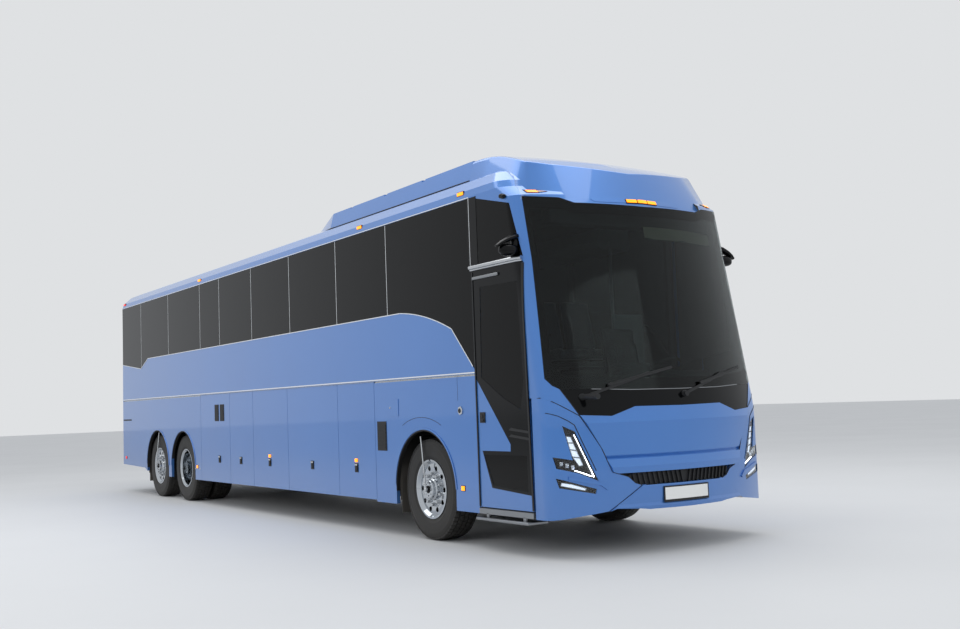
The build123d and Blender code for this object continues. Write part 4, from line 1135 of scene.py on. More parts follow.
@dataclass
class Screen:
    """Printed border and lower line of the windscreen, and the wipers.

    Attributes:
        outer: Half outline of the glass, as (across, up).
        inner: Half outline of the clear field.
        glass_back: Inner face of the glass, off the skin.
        border_thick: Thickness of the printed border.
        line_z: Lower and upper edge of the bright line on the centre line.
        line_rise: How far the line rises at places across.
        blades: Pivot and the blade's two ends of each wiper, as (across, up).
        pivot: Section of a pivot cap.
    """

    outer: tuple[Pair, ...] = (
        (0, 3.203), (0.763, 3.213), (0.899, 3.261), (1.223, 3.275), (1.223, 2.67), (1.265, 1.58),
        (1.226, 1.517), (1.168, 1.48), (0.901, 1.478), (0.521, 1.461), (0, 1.457),
    )
    inner: tuple[Pair, ...] = (
        (0, 3.105), (0.74, 3.11), (0.87, 3.15), (1.165, 3.16), (1.165, 2.66), (1.195, 1.7), (1.16, 1.645),
        (1.11, 1.61), (0.88, 1.585), (0.52, 1.565), (0, 1.56),
    )
    glass_back: float = -0.0124
    border_thick: float = 0.0008
    line_z: Pair = (1.453, 1.459)
    line_rise: tuple[Pair, ...] = ((0, 0.0), (0.521, 0.004), (0.901, 0.021))
    blades: tuple[tuple[Pair, Pair, Pair], ...] = (
        ((-0.998, 1.41), (-0.76, 1.512), (-0.06, 1.657)), ((0.05, 1.41), (0.27, 1.505), (0.96, 1.652)),
    )
    pivot: tuple[Pair, ...] = ((0, 0.03), (0.012, 0.03), (0.02, 0.024), (0.022, 0.0))

    def build(self) -> None:
        """Print the black ceramic border, lay the bright line and dress the wipers."""
        back = self.glass_back
        border = Shape()
        border.band(whole(self.outer), whole(self.inner), FORM.front, back - self.border_thick, back)
        border.piece("screen_border", GLOSS_BLACK, "black_gloss")
        foot, top = ([(across, edge + up) for across, up in self.line_rise] for edge in self.line_z)
        other_top, other_foot = ([(-across, up) for across, up in line[1:]] for line in (top, foot))
        both = [*reversed(other_top), *top, *reversed(foot), *other_foot]
        Shape().clad(both, FORM.front, 0.001, 0.004).piece("cowl_line", ANODISED, "bright_trim")
        spines, rubber = Shape(), Shape()
        for pivot, near, far in self.blades:
            spines.lathe(self.pivot, FORM.front(*pivot, 0.008), (0, -1, 0), 20)
            run = [tuple(a + (b - a) * k / 12 for a, b in zip(near, far)) for k in range(13)]
            rubber.tube([FORM.front(a, u - 0.012, 0.01) for a, u in run], 0.005, 6)
            spines.tube([FORM.front(a, u - 0.01, 0.031) for a, u in run], 0.006, 8)
        spines.piece("wiper_spines", GRAINED_BLACK, "black_plastic")
        rubber.piece("wiper_blades", RUBBER, "black_plastic")


@dataclass
class FrontLamps:
    """Headlamp and fog lamp clusters behind clear lenses. Outlines are (across, up).

    Attributes:
        head: Outline of the headlamp.
        head_field: Outline of the headlamp inside its bezel.
        fog: Outline of the fog lamp.
        fog_field: Outline of the fog lamp inside its bezel.
        guide: Line of the daytime light guide.
        beams: Lit cells, top to bottom, and the lit fog lamp.
        cubes: Middles of the small turn-signal cells.
        cube_reach: Half sizes of a cell's body and of its core.
        lens_face: Outer face of the lens, off the skin.
    """

    head: tuple[Pair, ...] = (
        (1.19, 1.162), (1.086, 1.108), (0.9, 0.668), (1.069, 0.742), (1.243, 0.79), (1.262, 0.89),
        (1.115, 0.859),
    )
    head_field: tuple[Pair, ...] = (
        (1.172, 1.138), (1.093, 1.096), (0.922, 0.692), (1.067, 0.754), (1.235, 0.8), (1.249, 0.878),
        (1.106, 0.846),
    )
    fog: tuple[Pair, ...] = ((1.249, 0.706), (1.229, 0.621), (0.929, 0.557), (0.918, 0.598), (1.123, 0.665))
    fog_field: tuple[Pair, ...] = (
        (1.236, 0.692), (1.221, 0.63), (0.938, 0.568), (0.932, 0.594), (1.125, 0.655),
    )
    guide: tuple[Pair, ...] = (
        (1.084, 1.082), (1.0, 0.884), (0.926, 0.704), (0.984, 0.724), (1.03, 0.742), (1.09, 0.764),
    )
    beams: tuple[tuple[Pair, ...], ...] = (
        ((1.148, 1.068), (1.112, 1.06), (1.094, 1.012), (1.136, 1.016)),
        ((1.134, 1.008), (1.092, 1.004), (1.068, 0.944), (1.122, 0.956)),
        ((1.12, 0.948), (1.066, 0.936), (1.044, 0.88), (1.104, 0.89)),
        ((1.1, 0.882), (1.042, 0.872), (1.018, 0.812), (1.05, 0.806)),
        ((1.2, 0.664), (1.206, 0.64), (1.01, 0.59), (1.0, 0.606), (1.12, 0.648)),
    )
    cubes: tuple[Pair, ...] = ((1.1, 0.795), (1.146, 0.812), (1.192, 0.829))
    cube_reach: tuple[Point, Point] = ((0.018, 0.006, 0.019), (0.01, 0.01, 0.011))
    lens_face: float = -0.008

    def build(self) -> None:
        """Build both sides' lamps."""
        lens, bezel, cups, lit, cells, beams = (Shape() for _ in range(6))
        face, skin = self.lens_face, FORM.front
        for side, _ in SIDES:
            for outer, inner in ((self.head, self.head_field), (self.fog, self.fog_field)):
                outer, inner = mirrored(outer, side), mirrored(inner, side)
                lens.clad(outer, skin, face - 0.003, face)
                bezel.band(outer, inner, skin, face - 0.012, face - 0.0035)
                bezel.clad(outer, skin, face - 0.04, face - 0.037)
            lit.tube([skin(side * a, u, face - 0.01) for a, u in self.guide], 0.0065, 8)
            for beam in self.beams:
                beam = mirrored(beam, side)
                beams.clad(beam, skin, face - 0.03, face - 0.018, 0.012)
                cups.strip([*beam, beam[0]], skin, 0.005, face - 0.03, face - 0.012)
            for across, up in mirrored(self.cubes, side):
                spot = skin(across, up, face - 0.022)
                normal = (skin(across, up, 0.02) - skin(across, up, 0.0)).normalized()
                turn = normal.to_track_quat("-Y", "Z").to_matrix()
                for reach in map(Vector, self.cube_reach):
                    cells.block(spot - reach, spot + reach, 0.003, turn)
        lens.piece("front_lamp_lenses", CLEAR_LENS, "lamp_lens", stands_for=["headlamps"])
        bezel.piece("front_lamp_bezels", GLOSS_BLACK, "black_gloss")
        cups.piece("front_lamp_reflectors", REFLECTOR, "lamp_lens")
        lit.piece("front_lamp_guides", LIGHT_GUIDE, "lamp_lens")
        beams.piece("front_lamp_beams", BEAM, "lamp_lens")
        cells.piece("front_lamp_cells", REFLECTOR, "lamp_lens")


@dataclass
class Markers:
    """Clearance lamps over the windscreen and along the sides, each in a black base.

    Outlines are (across, up).

    Attributes:
        centre: Spans of the three middle lamps.
        centre_z: Their height.
        field: Outline of the painted field under them.
        corner: Outline of a corner lamp.
        corner_base: Outline of its base.
        tip: Outline of the red tip beside it.
        sides: Place, height, half length and half height of each side lamp.
        base_rim: How far a base shows round its lamp.
        wall_lean: How far the wall leans in above the glass band.
    """

    centre: tuple[Pair, ...] = ((-0.17, -0.06), (-0.044, 0.066), (0.082, 0.202))
    centre_z: float = 3.254
    field: tuple[Pair, ...] = (
        (-0.56, 3.262), (-0.52, 3.236), (0.52, 3.236), (0.56, 3.262), (0.53, 3.288), (-0.53, 3.288),
    )
    corner: tuple[Pair, ...] = ((1.06, 3.317), (1.15, 3.319), (1.15, 3.346), (1.06, 3.344))
    corner_base: tuple[Pair, ...] = (
        (1.168, 3.311), (1.168, 3.351), (1.05, 3.349), (0.962, 3.328), (1.05, 3.312),
    )
    tip: tuple[Pair, ...] = ((1.054, 3.319), (1.054, 3.342), (0.975, 3.328))
    sides: tuple[Span, ...] = (
        (-5.27, 3.455, 0.055, 0.016), (-3.07, 3.455, 0.055, 0.016), (2.43, 3.455, 0.055, 0.016),
        (6.59, 3.455, 0.055, 0.016), (-5.148, 0.563, 0.03, 0.022), (2.64, 0.561, 0.03, 0.022),
        (6.56, 0.625, 0.03, 0.022),
    )
    base_rim: float = 0.006
    wall_lean: float = 0.01

    def build(self) -> None:
        """Build lamps, bases and red tips."""
        lamps, bases, tips, field = (Shape() for _ in range(4))
        rim, z = self.base_rim, self.centre_z
        for low, high in self.centre:
            lamps.clad(rectangle(low, high, z - 0.015, z + 0.015), FORM.dome, 0.004, 0.014, 0.03)
        field.clad(self.field, FORM.dome, -0.006, 0.003)
        foot, top = self.centre[0][0] - rim, self.centre[-1][1] + rim
        bases.clad(rectangle(foot, top, z - 0.02, z + 0.02), FORM.dome, 0.0005, 0.0075, 0.03)
        for side, _ in SIDES:
            lamps.clad(mirrored(self.corner, side), FORM.front, 0.004, 0.012, 0.03)
            tips.clad(mirrored(self.tip, side), FORM.front, 0.003, 0.01, 0.03)
            bases.clad(mirrored(self.corner_base, side), FORM.front, 0.0005, 0.005, 0.03)
            for place, height, half_long, half_high in self.sides:
                x = side * (FORM.half_width - (self.wall_lean if height > FORM.window_top_z else 0.0))
                for shape, out, edge, bevel in ((lamps, 0.01, 0.0, 0.005), (bases, 0.004, rim, 0.0015)):
                    near, far = sorted((x - side * 0.008, x + side * out))
                    low = (near, place - half_long - edge, height - half_high - edge)
                    shape.block(low, (far, place + half_long + edge, height + half_high + edge), bevel)
        lamps.piece("marker_lamp_lenses", AMBER, "amber_lens", stands_for=["marker_lamps"])
        bases.piece("marker_lamp_bases", GLOSS_BLACK, "black_gloss")
        tips.piece("roof_marker_tips", RED_LENS, "amber_lens")
        field.piece("roof_marker_field", LACQUER, "body_paint")


@dataclass
class Seams:
    """Dark joints between the fixed panels, dark lines along creases as painted shade, and bright lines along
    the glass band.

    Attributes:
        joints: Lines of the front's joints and creases, as (across, up). The dark lines along the creases are
            painted shade.
        band_rear: Lower edge of the glass band behind its curve, as (along, up).
        band_curve: Start, middle and end of its curve.
        band_nose: Lower edge before the curve.
        band_ends: Front and rear end of the band's straight lines.
        flare: Three points of the crease over the front arch, as (along, up), where a dark line is painted as
            the crease's shade.
        covers: Spans of the corner pillar's covers, along and up.
        width: Width of a joint.
    """

    joints: tuple[tuple[Pair, ...], ...] = (
        ((1.2985, 1.4125), (1.186, 1.339), (1.041, 1.244), (0.866, 0.959), (0.774, 0.739), (0.623, 0.69)),
        ((1.168, 1.48), (1.041, 1.25), (0.76, 1.232), (0.52, 1.309)), ((0.495, 0.607), (0.815, 0.399)),
        ((0.5, 0.612), (0.56, 0.632), (0.623, 0.69)),
        ((1.285, 1.278), (1.215, 1.248), (1.135, 1.2), (1.09, 1.165), (1.03, 1.015), (0.92, 0.76)),
    )
    band_rear: tuple[Pair, ...] = ((6.728, 2.335), (5.58, 2.217), (5.16, 2.38))
    band_curve: tuple[Pair, Pair, Pair] = ((-3.98, 2.38), (-4.532, 2.294), (-5.027, 2.137))
    band_nose: Pair = (-5.4, 1.745)
    band_ends: Pair = (-5.425, 6.728)
    flare: tuple[Pair, Pair, Pair] = ((-3.96, 1.18), (-4.341, 1.262), (-4.76, 1.18))
    covers: tuple[Span, Span] = ((-5.556, -5.395, 2.654, 3.384), (-6.262, -5.556, 2.654, 2.704))
    width: float = 0.006

    def build(self) -> None:
        """Build joints, painted shade along creases, and bright lines."""
        dark, bright, pillar = Shape(), Shape(), Shape()
        # Dark strips along the front's joints. Where a line follows a crease, its dark strip is painted
        # shade.
        for line in self.joints:
            for side, _ in SIDES:
                dark.strip(mirrored(line, side), FORM.front, self.width, -0.003, 0.0035)
        lower = [*self.band_rear, *arc(*self.band_curve, 12), self.band_nose]
        near, far = self.band_ends
        for side, _ in SIDES:
            skin = FORM.flank(side)
            bright.strip(lower, skin, 0.009, 0.0004, 0.0035)
            bright.strip(((near, 3.392), (far, 3.392)), skin, 0.008, 0.0004, 0.0035)
            bright.strip(((near, 1.684), (far, 1.684)), skin, 0.012, 0.0004, 0.003)
            bright.strip(((near, 2.712), (near, 3.384)), skin, 0.006, 0.003, 0.0045)
            dark.strip(((-5.1, 1.68), (-5.1, 1.42)), skin, 0.003, 0.0, 0.0006)
            # Dark line along the crease over the front arch: painted shade.
            dark.strip(arc(*self.flare, 14), skin, 0.0045, 0.0002, 0.0012)
            for cover in self.covers:
                pillar.clad(rectangle(*cover), skin, 0.0005, 0.003)
        dark.piece("panel_joints_and_crease_shade", SEAL, "black_plastic")
        bright.piece("band_lines", TRIM, "bright_trim")
        pillar.piece("corner_pillar_covers", GLOSS_BLACK, "black_gloss")


@dataclass
class SideDress:
    """Seam strips, whose pale colour is a painted reflection, latches, vents, caps and arch lips along both
    sides.

    Attributes:
        pillars: Place of each pane seam, and the band's lower edge there.
        latches: Door number, place and whether a lamp sits above.
        latch_z: Height of the latches.
        grids: Spans along of the vents in the first door.
        vent: Spans along and up of the skirt vent.
        vent_slats: Ends of its slats.
        slot: Spans along and up of the dark slot near the tail.
        flap: Spans along and up of the filler flap.
        cap: Place and height of the cap before the front wheel.
        arches: Place, radius, and first and last step of each arch's lip.
        lip: Width of a lip.
    """

    pillars: tuple[Pair, ...] = (
        (5.55, 2.232), (4.0, 2.38), (2.42, 2.38), (1.56, 2.38), (0.28, 2.38), (-1.04, 2.38), (-2.43, 2.38),
        (-3.7, 2.38),
    )
    latches: tuple[tuple[int, float, bool], ...] = (
        (1, 1.64, False), (2, 0.78, False), (3, -0.28, True), (4, -1.64, False), (5, -2.85, True),
    )
    latch_z: float = 0.7
    grids: tuple[Pair, Pair] = ((1.43, 1.595), (1.655, 1.82))
    vent: Span = (-3.6, -3.39, 0.905, 1.225)
    vent_slats: Pair = (-3.585, -3.405)
    slot: Span = (6.22, 6.72, 1.299, 1.323)
    flap: Span = (-3.885, -3.68, 1.28, 1.465)
    cap: Pair = (-5.148, 1.321)
    arches: tuple[tuple[float, float, int, int], ...] = (
        (-4.4, 0.612, 0, 32), (3.33, 0.592, 3, 32), (4.67, 0.603, 0, 28),
    )
    lip: float = 0.012

    def seams(self) -> None:
        """Lay pale strips between the panes, as painted reflection in the seams."""
        # Pale trim strips in the pane seams: their pale colour is a painted reflection.
        shape = Shape()
        for side, _ in SIDES:
            for place, foot in self.pillars:
                low = (side * 1.2882, place - 0.0038, foot + 0.006)
                shape.block(low, (side * 1.3006, place + 0.0038, FORM.window_top_z - 0.006))
        shape.piece("pane_seams_painted_reflection", TRIM, "bright_trim")

    def doors(self) -> None:
        """Fit every luggage door with its latch, and some with a lamp or vents."""
        z = self.latch_z
        for side, word in SIDES:
            skin = FORM.flank(side)
            for number, place, lamp in self.latches:
                case, chrome, amber = Shape(), Shape(), Shape()
                case.clad(rectangle(place - 0.04, place + 0.04, z - 0.052, z + 0.052), skin, 0.0004, 0.006)
                # Rounded pads. Columns: shape, half length, foot, top, back, face, radius of the edges.
                for shape, half, foot, top, back, face, bevel in (
                    (case, 0.026, -0.034, 0.022, 0.006, 0.013, 0.003),
                    (chrome, 0.03, 0.024, 0.044, 0.006, 0.015, 0.004),
                    (amber, 0.028, 0.064, 0.104, 0.0006, 0.012, 0.004),
                ):
                    ends = skin(place - half, z + foot, back), skin(place + half, z + top, face)
                    shape.block(Vector(map(min, *ends)), Vector(map(max, *ends)), bevel)
                for low, high in self.grids if number == 1 else ():
                    case.clad(rectangle(low, high, 1.262, 1.508), skin, 0.0004, 0.004)
                    for step in range(6):
                        foot = 1.285 + step * 0.038
                        slat = rectangle(low + 0.012, high - 0.012, foot, foot + 0.016)
                        case.clad(slat, skin, 0.004, 0.009)
                body = f"luggage_door_{word}_{number}"
                case.piece(f"latch_case_{word}_{number}", GRAINED_BLACK, "black_plastic", body)
                chrome.piece(f"latch_cap_{word}_{number}", BRIGHT, "bright_trim", body)
                if lamp:
                    amber.piece(f"door_lamp_{word}_{number}", AMBER, "amber_lens", body)
                else:
                    amber.mesh.free()

    def panels(self) -> None:
        """Fit vents, flaps, caps and slots on the fixed skirts."""
        black, bright, lids = Shape(), Shape(), Shape()
        for side, _ in SIDES:
            skin, axis = FORM.flank(side), (side, 0, 0)
            black.clad(rectangle(*self.vent), skin, 0.0004, 0.005)
            for step in range(7):
                z = 0.93 + step * 0.04
                black.clad(rectangle(*self.vent_slats, z, z + 0.02), skin, 0.005, 0.011)
            lids.clad(rectangle(*self.flap), skin, 0.0006, 0.0045)
            bright.lathe(((0, 0.011), (0.006, 0.01), (0.008, 0.0)), skin(-3.705, 1.372, 0.0045), axis, 16)
            for place in (2.73, 2.53):
                bright.lathe(((0, 0.014), (0.004, 0.013), (0.006, 0.0)), skin(place, 0.53, 0.0004), axis, 16)
            hexagon = ((0.0, 0.044), (0.01, 0.044), (0.014, 0.036), (0.014, 0.0))
            bright.lathe(hexagon, skin(*self.cap, 0.0004), axis, 6)
            black.lathe(((0.0, 0.024), (0.004, 0.022), (0.005, 0.0)), skin(*self.cap, 0.0145), axis, 20)
            black.clad(rectangle(*self.slot), skin, 0.0004, 0.004)
        black.piece("skirt_vents", GRAINED_BLACK, "black_plastic")
        bright.piece("skirt_caps", BRIGHT, "bright_trim")
        lids.piece("filler_flaps", LACQUER, "body_paint")

    def lips(self) -> None:
        """Fit the rubber lip round each wheel arch."""
        shape = Shape()
        for side, _ in SIDES:
            for place, radius, first, last in self.arches:
                angles = [math.radians(-4 + 188 * step / 32) for step in range(first, last + 1)]
                outer, inner = (
                    [(place + reach * math.cos(a), FORM.axle_z + reach * math.sin(a)) for a in angles]
                    for reach in (radius - 0.001, radius - 0.001 - self.lip)
                )
                for at in range(len(angles) - 1):
                    corners = [outer[at], outer[at + 1], inner[at + 1], inner[at]]
                    shape.clad(corners, FORM.flank(side), -0.038, 0.003, 1.0)
        shape.piece("arch_lips", SEAL, "black_plastic")

    def build(self) -> None:
        """Build everything along the sides."""
        self.seams()
        self.doors()
        self.panels()
        self.lips()


@dataclass
class AirLines:
    """Bright air pipes that keep the tyres filled, from the arch down to the hub.

    Attributes:
        radius: Radius of the pipe.
        hub_x: How far out the union sits on the hub.
        arch_x: How far out the pipe hangs in the arch.
        rows: Axle name, axle's place, arch end's place and height.
        inboard: The pipe's way over a steered wheel, as (across, along, up).
        union: Section of the union.
    """

    radius: float = 0.009
    hub_x: float = 1.312
    arch_x: float = 1.27
    rows: tuple[tuple[str, float, float, float], ...] = (
        ("front", -4.45, -4.29, 1.088), ("tag", 4.67, 4.67, 1.085),
    )
    inboard: tuple[Point, ...] = (
        (0.95, -4.42, 0.622), (0.936, -4.4, 0.7), (0.936, -4.29, 1.02), (0.955, -4.29, 1.056),
        (1.1, -4.29, 1.062), (1.235, -4.29, 1.062),
    )
    union: tuple[Pair, ...] = ((0.0, 0.02), (0.018, 0.02), (0.024, 0.014), (0.024, 0.0))

    def build(self) -> None:
        """Build one pipe and union for each single wheel. The front ones steer with their wheel."""
        for side, word in SIDES:
            for place, axle_y, top_y, top_z in self.rows:
                hub = Vector((side * self.hub_x, axle_y, FORM.axle_z))
                top = Vector((side * self.arch_x, top_y, top_z))
                elbow, end = (hub + Vector((side * 0.012, 0.0, up)) for up in (0.03, 0.0))
                path, body = [top, top.lerp(elbow, 0.35), top.lerp(elbow, 0.7), elbow, end], "chassis"
                if place == "front":
                    over = [Vector((side * across, along, up)) for across, along, up in self.inboard]
                    path, body = [*over, top + Vector((0, 0, -0.028)), *path[1:]], f"knuckle_{word}"
                shape = Shape().tube(path, self.radius, 10).lathe(self.union, hub, (side, 0, 0), 20)
                shape.piece(f"air_line_{place}_{word}", BRIGHT, "bright_trim", body)


@dataclass
class EntryDoorDress:
    """Black field, frame strips, lock, gutter and rails of the entry door on the kerb side.

    Outlines are (along, up).

    Attributes:
        upper: Outline of the upper glass.
        around: Outline of the black field round it.
        lower: Outline of the lower glass.
        lower_around: Outline of the black field round it.
        between: Outline of the field between the two.
        frames: Outline and face of each strip of the frame.
        gutters: Height and radius of the gutter's two beads.
        rails: Place, foot and top of each grab rail.
    """

    upper: tuple[Pair, ...] = (
        (-5.574, 2.497), (-6.191, 2.487), (-6.24, 1.591), (-6.182, 1.316), (-5.893, 1.434), (-5.545, 1.632),
    )
    around: tuple[Pair, ...] = (
        (-5.446, 2.6545), (-6.262, 2.6545), (-6.312, 1.56), (-6.318, 1.0), (-5.995, 1.0), (-5.462, 1.612),
    )
    lower: tuple[Pair, ...] = ((-5.545, 0.9), (-6.245, 0.9), (-6.25, 0.575), (-5.69, 0.615))
    lower_around: tuple[Pair, ...] = ((-5.52, 0.935), (-6.318, 0.935), (-6.322, 0.545), (-5.665, 0.59))
    between: tuple[Pair, ...] = ((-5.995, 1.0), (-6.318, 1.0), (-6.318, 0.935), (-5.99, 0.935))
    frames: tuple[tuple[tuple[Pair, ...], float], ...] = (
        (((-5.458, 0.41), (-5.441, 0.41), (-5.441, 2.65), (-5.458, 2.65)), 0.01),
        (((-6.262, 2.65), (-6.282, 2.65), (-6.334, 0.41), (-6.312, 0.41)), 0.012),
        (((-6.3, 1.04), (-6.3, 1.062), (-6.02, 1.092), (-5.98, 1.07)), 0.01),
        (((-6.3, 1.1), (-6.3, 1.122), (-6.02, 1.152), (-5.98, 1.13)), 0.01),
    )
    gutters: tuple[Pair, Pair] = ((2.698, 0.019), (2.674, 0.01))
    rails: tuple[Point, Point] = ((-5.62, 0.95, 2.15), (-6.14, 1.3, 2.2))

    def build(self) -> None:
        """Build the door's pieces."""
        skin, door = FORM.flank(-1), "entry_door"
        field, frames, gutter, rails = (Shape() for _ in range(4))
        for outer, inner in ((self.around, self.upper), (self.lower_around, self.lower)):
            field.band(outer, inner, skin, 0.0004, 0.003)
        field.clad(self.between, skin, 0.0004, 0.003)
        field.piece("entry_door_field", GLOSS_BLACK, "black_gloss", door)
        for outline, face in self.frames:
            frames.clad(outline, skin, 0.003, face)
        frames.piece("entry_door_frame", GRAINED_BLACK, "black_plastic", door)
        lock = Shape().clad(rectangle(-5.585, -5.5, 1.2, 1.3), skin, 0.0004, 0.008)
        lock.lathe(((0, 0.018), (0.006, 0.017), (0.008, 0.0)), skin(-5.542, 1.262, 0.008), (-1, 0, 0), 24)
        lock.block((-1.318, -5.572, 1.212), (-1.308, -5.512, 1.232), 0.003)
        lock.piece("entry_door_lock", GRAINED_BLACK, "black_plastic", door)
        for height, radius in self.gutters:
            run = (-5.428, -5.7, -6.0, -6.2, -6.268)
            gutter.tube([skin(along, height, radius - 0.002) for along in run], radius, 14)
        gutter.piece("door_gutter", BRIGHT, "bright_trim")
        stay = Shape().block((-1.322, -5.905, 2.574), (-1.3004, -5.462, 2.604), 0.008)
        stay.piece("entry_door_stay", ANODISED, "bright_trim", door)
        sill = Shape().clad(rectangle(-6.325, -5.44, 0.342, 0.392), skin, 0.0006, 0.01)
        sill.blocks((
            ((-1.36, -6.3, 0.286), (-1.13, -5.45, 0.312), 0.006),
            ((-1.31, -6.2, 0.3), (-1.29, -6.16, 0.35), 0.003),
            ((-1.31, -5.6, 0.3), (-1.29, -5.56, 0.35), 0.003),
        ))
        sill.piece("entry_sill", ANODISED, "bright_trim")
        for along, low, high in self.rails:
            bends = ((-1.235, low), (-1.19, low + 0.05), (-1.19, high - 0.05), (-1.235, high))
            rails.tube([(across, along, up) for across, up in bends], 0.014, 12)
        rails.piece("entry_door_rails", BRIGHT, "bright_trim", door)


@dataclass
class CameraPods:
    """Two-lobed camera pods on swept arms that stand in for mirrors.

    Attributes:
        place_y: Place of the arm's root.
        blade: Across, up, half depth and half height of the arm's sections.
        root: Point at which the arm begins, as (across, up).
        end: Point at which it ends.
        lobes: Middle and half sizes of each lobe, in places across, behind the root and up.
        eyes: Height and place across of the lenses.
        eye: Section of a lens.
    """

    place_y: float = -6.175
    blade: tuple[Span, ...] = (
        (1.24, 2.9, 0.03, 0.026), (1.27, 2.902, 0.046, 0.032), (1.33, 2.89, 0.056, 0.03),
        (1.4, 2.862, 0.054, 0.026), (1.455, 2.832, 0.046, 0.022), (1.496, 2.806, 0.03, 0.014),
    )
    root: Pair = (1.238, 2.9)
    end: Pair = (1.506, 2.8)
    lobes: tuple[tuple[Point, Point], ...] = (
        ((1.362, 0.004, 2.772), (0.104, 0.06, 0.056)), ((1.29, 0.002, 2.83), (0.04, 0.04, 0.06)),
    )
    eyes: tuple[Pair, Pair] = ((2.862, 1.4), (2.77, 1.372))
    eye: tuple[Pair, ...] = ((0.0, 0.018), (0.01, 0.017), (0.012, 0.0))

    def lobe(self, shape: Shape, centre: Vector, reach: Vector) -> None:
        """Add one rounded lobe.

        Args:
            shape: The shape that takes it.
            centre: Its middle.
            reach: Its half sizes.
        """
        part = bmesh.new()
        bmesh.ops.create_uvsphere(part, u_segments=28, v_segments=16, radius=1.0)
        for vert in part.verts:
            flat = Vector([math.copysign(abs(c) ** 0.8, c) for c in vert.co])
            vert.co = centre + Vector([a * b for a, b in zip(flat, reach)])
        shape.take(part)

    def build(self) -> None:
        """Build both pods."""
        shape, eyes = Shape(), Shape()
        y = self.place_y
        for side, _ in SIDES:
            rings = [[shape.mesh.verts.new((side * self.root[0], y, self.root[1]))]]
            for across, up, deep, tall in self.blade:
                spot = Vector((side * across, y, up))
                rings.append(shape.ring(spot, Vector((0, deep, 0)), Vector((0, 0, tall)), 1.0, 24))
            shape.bridge([*rings, [shape.mesh.verts.new((side * self.end[0], y, self.end[1]))]])
            for (across, along, up), reach in self.lobes:
                self.lobe(shape, Vector((side * across, y + along, up)), Vector(reach))
            for up, out in self.eyes:
                eyes.lathe(self.eye, (side * out, y + 0.05, up), (0, 1, 0), 20)
            for lean in (0.0, 0.03):
                spot = FORM.flank(side)(-6.01 - lean, 3.305 - 0.3 * lean, 0.01)
                self.lobe(shape, spot, Vector((0.018, 0.034, 0.022)))
        shape.piece("camera_pod_shells", GLOSS_BLACK, "black_gloss", stands_for=["camera_pods"])
        eyes.piece("camera_pod_eyes", CLEAR_LENS, "lamp_lens")


@dataclass
class Plates:
    """Blank number plates in black frames.

    Attributes:
        front: Spans across and up of the front plate's frame.
        rear: Spans across and up of the rear plate's frame.
    """

    front: Span = (-0.287, 0.258, 0.443, 0.585)
    rear: Span = (-0.26, 0.26, 0.56, 0.68)

    def build(self) -> None:
        """Build both plates."""
        frames, blanks = Shape(), Shape()
        for surface, (low, high, foot, top), off in (
            (FORM.front, self.front, 0.0205), (FORM.back, self.rear, 0.0005),
        ):
            frames.clad(rectangle(low, high, foot, top), surface, off, off + 0.0042)
            plate = rectangle(low + 0.014, high - 0.014, foot + 0.022, top - 0.012)
            blanks.clad(plate, surface, off + 0.0036, off + 0.005)
        frames.piece("plate_frames", GRAINED_BLACK, "black_plastic")
        blanks.piece("blank_plates", PLATE_WHITE, "body_paint")


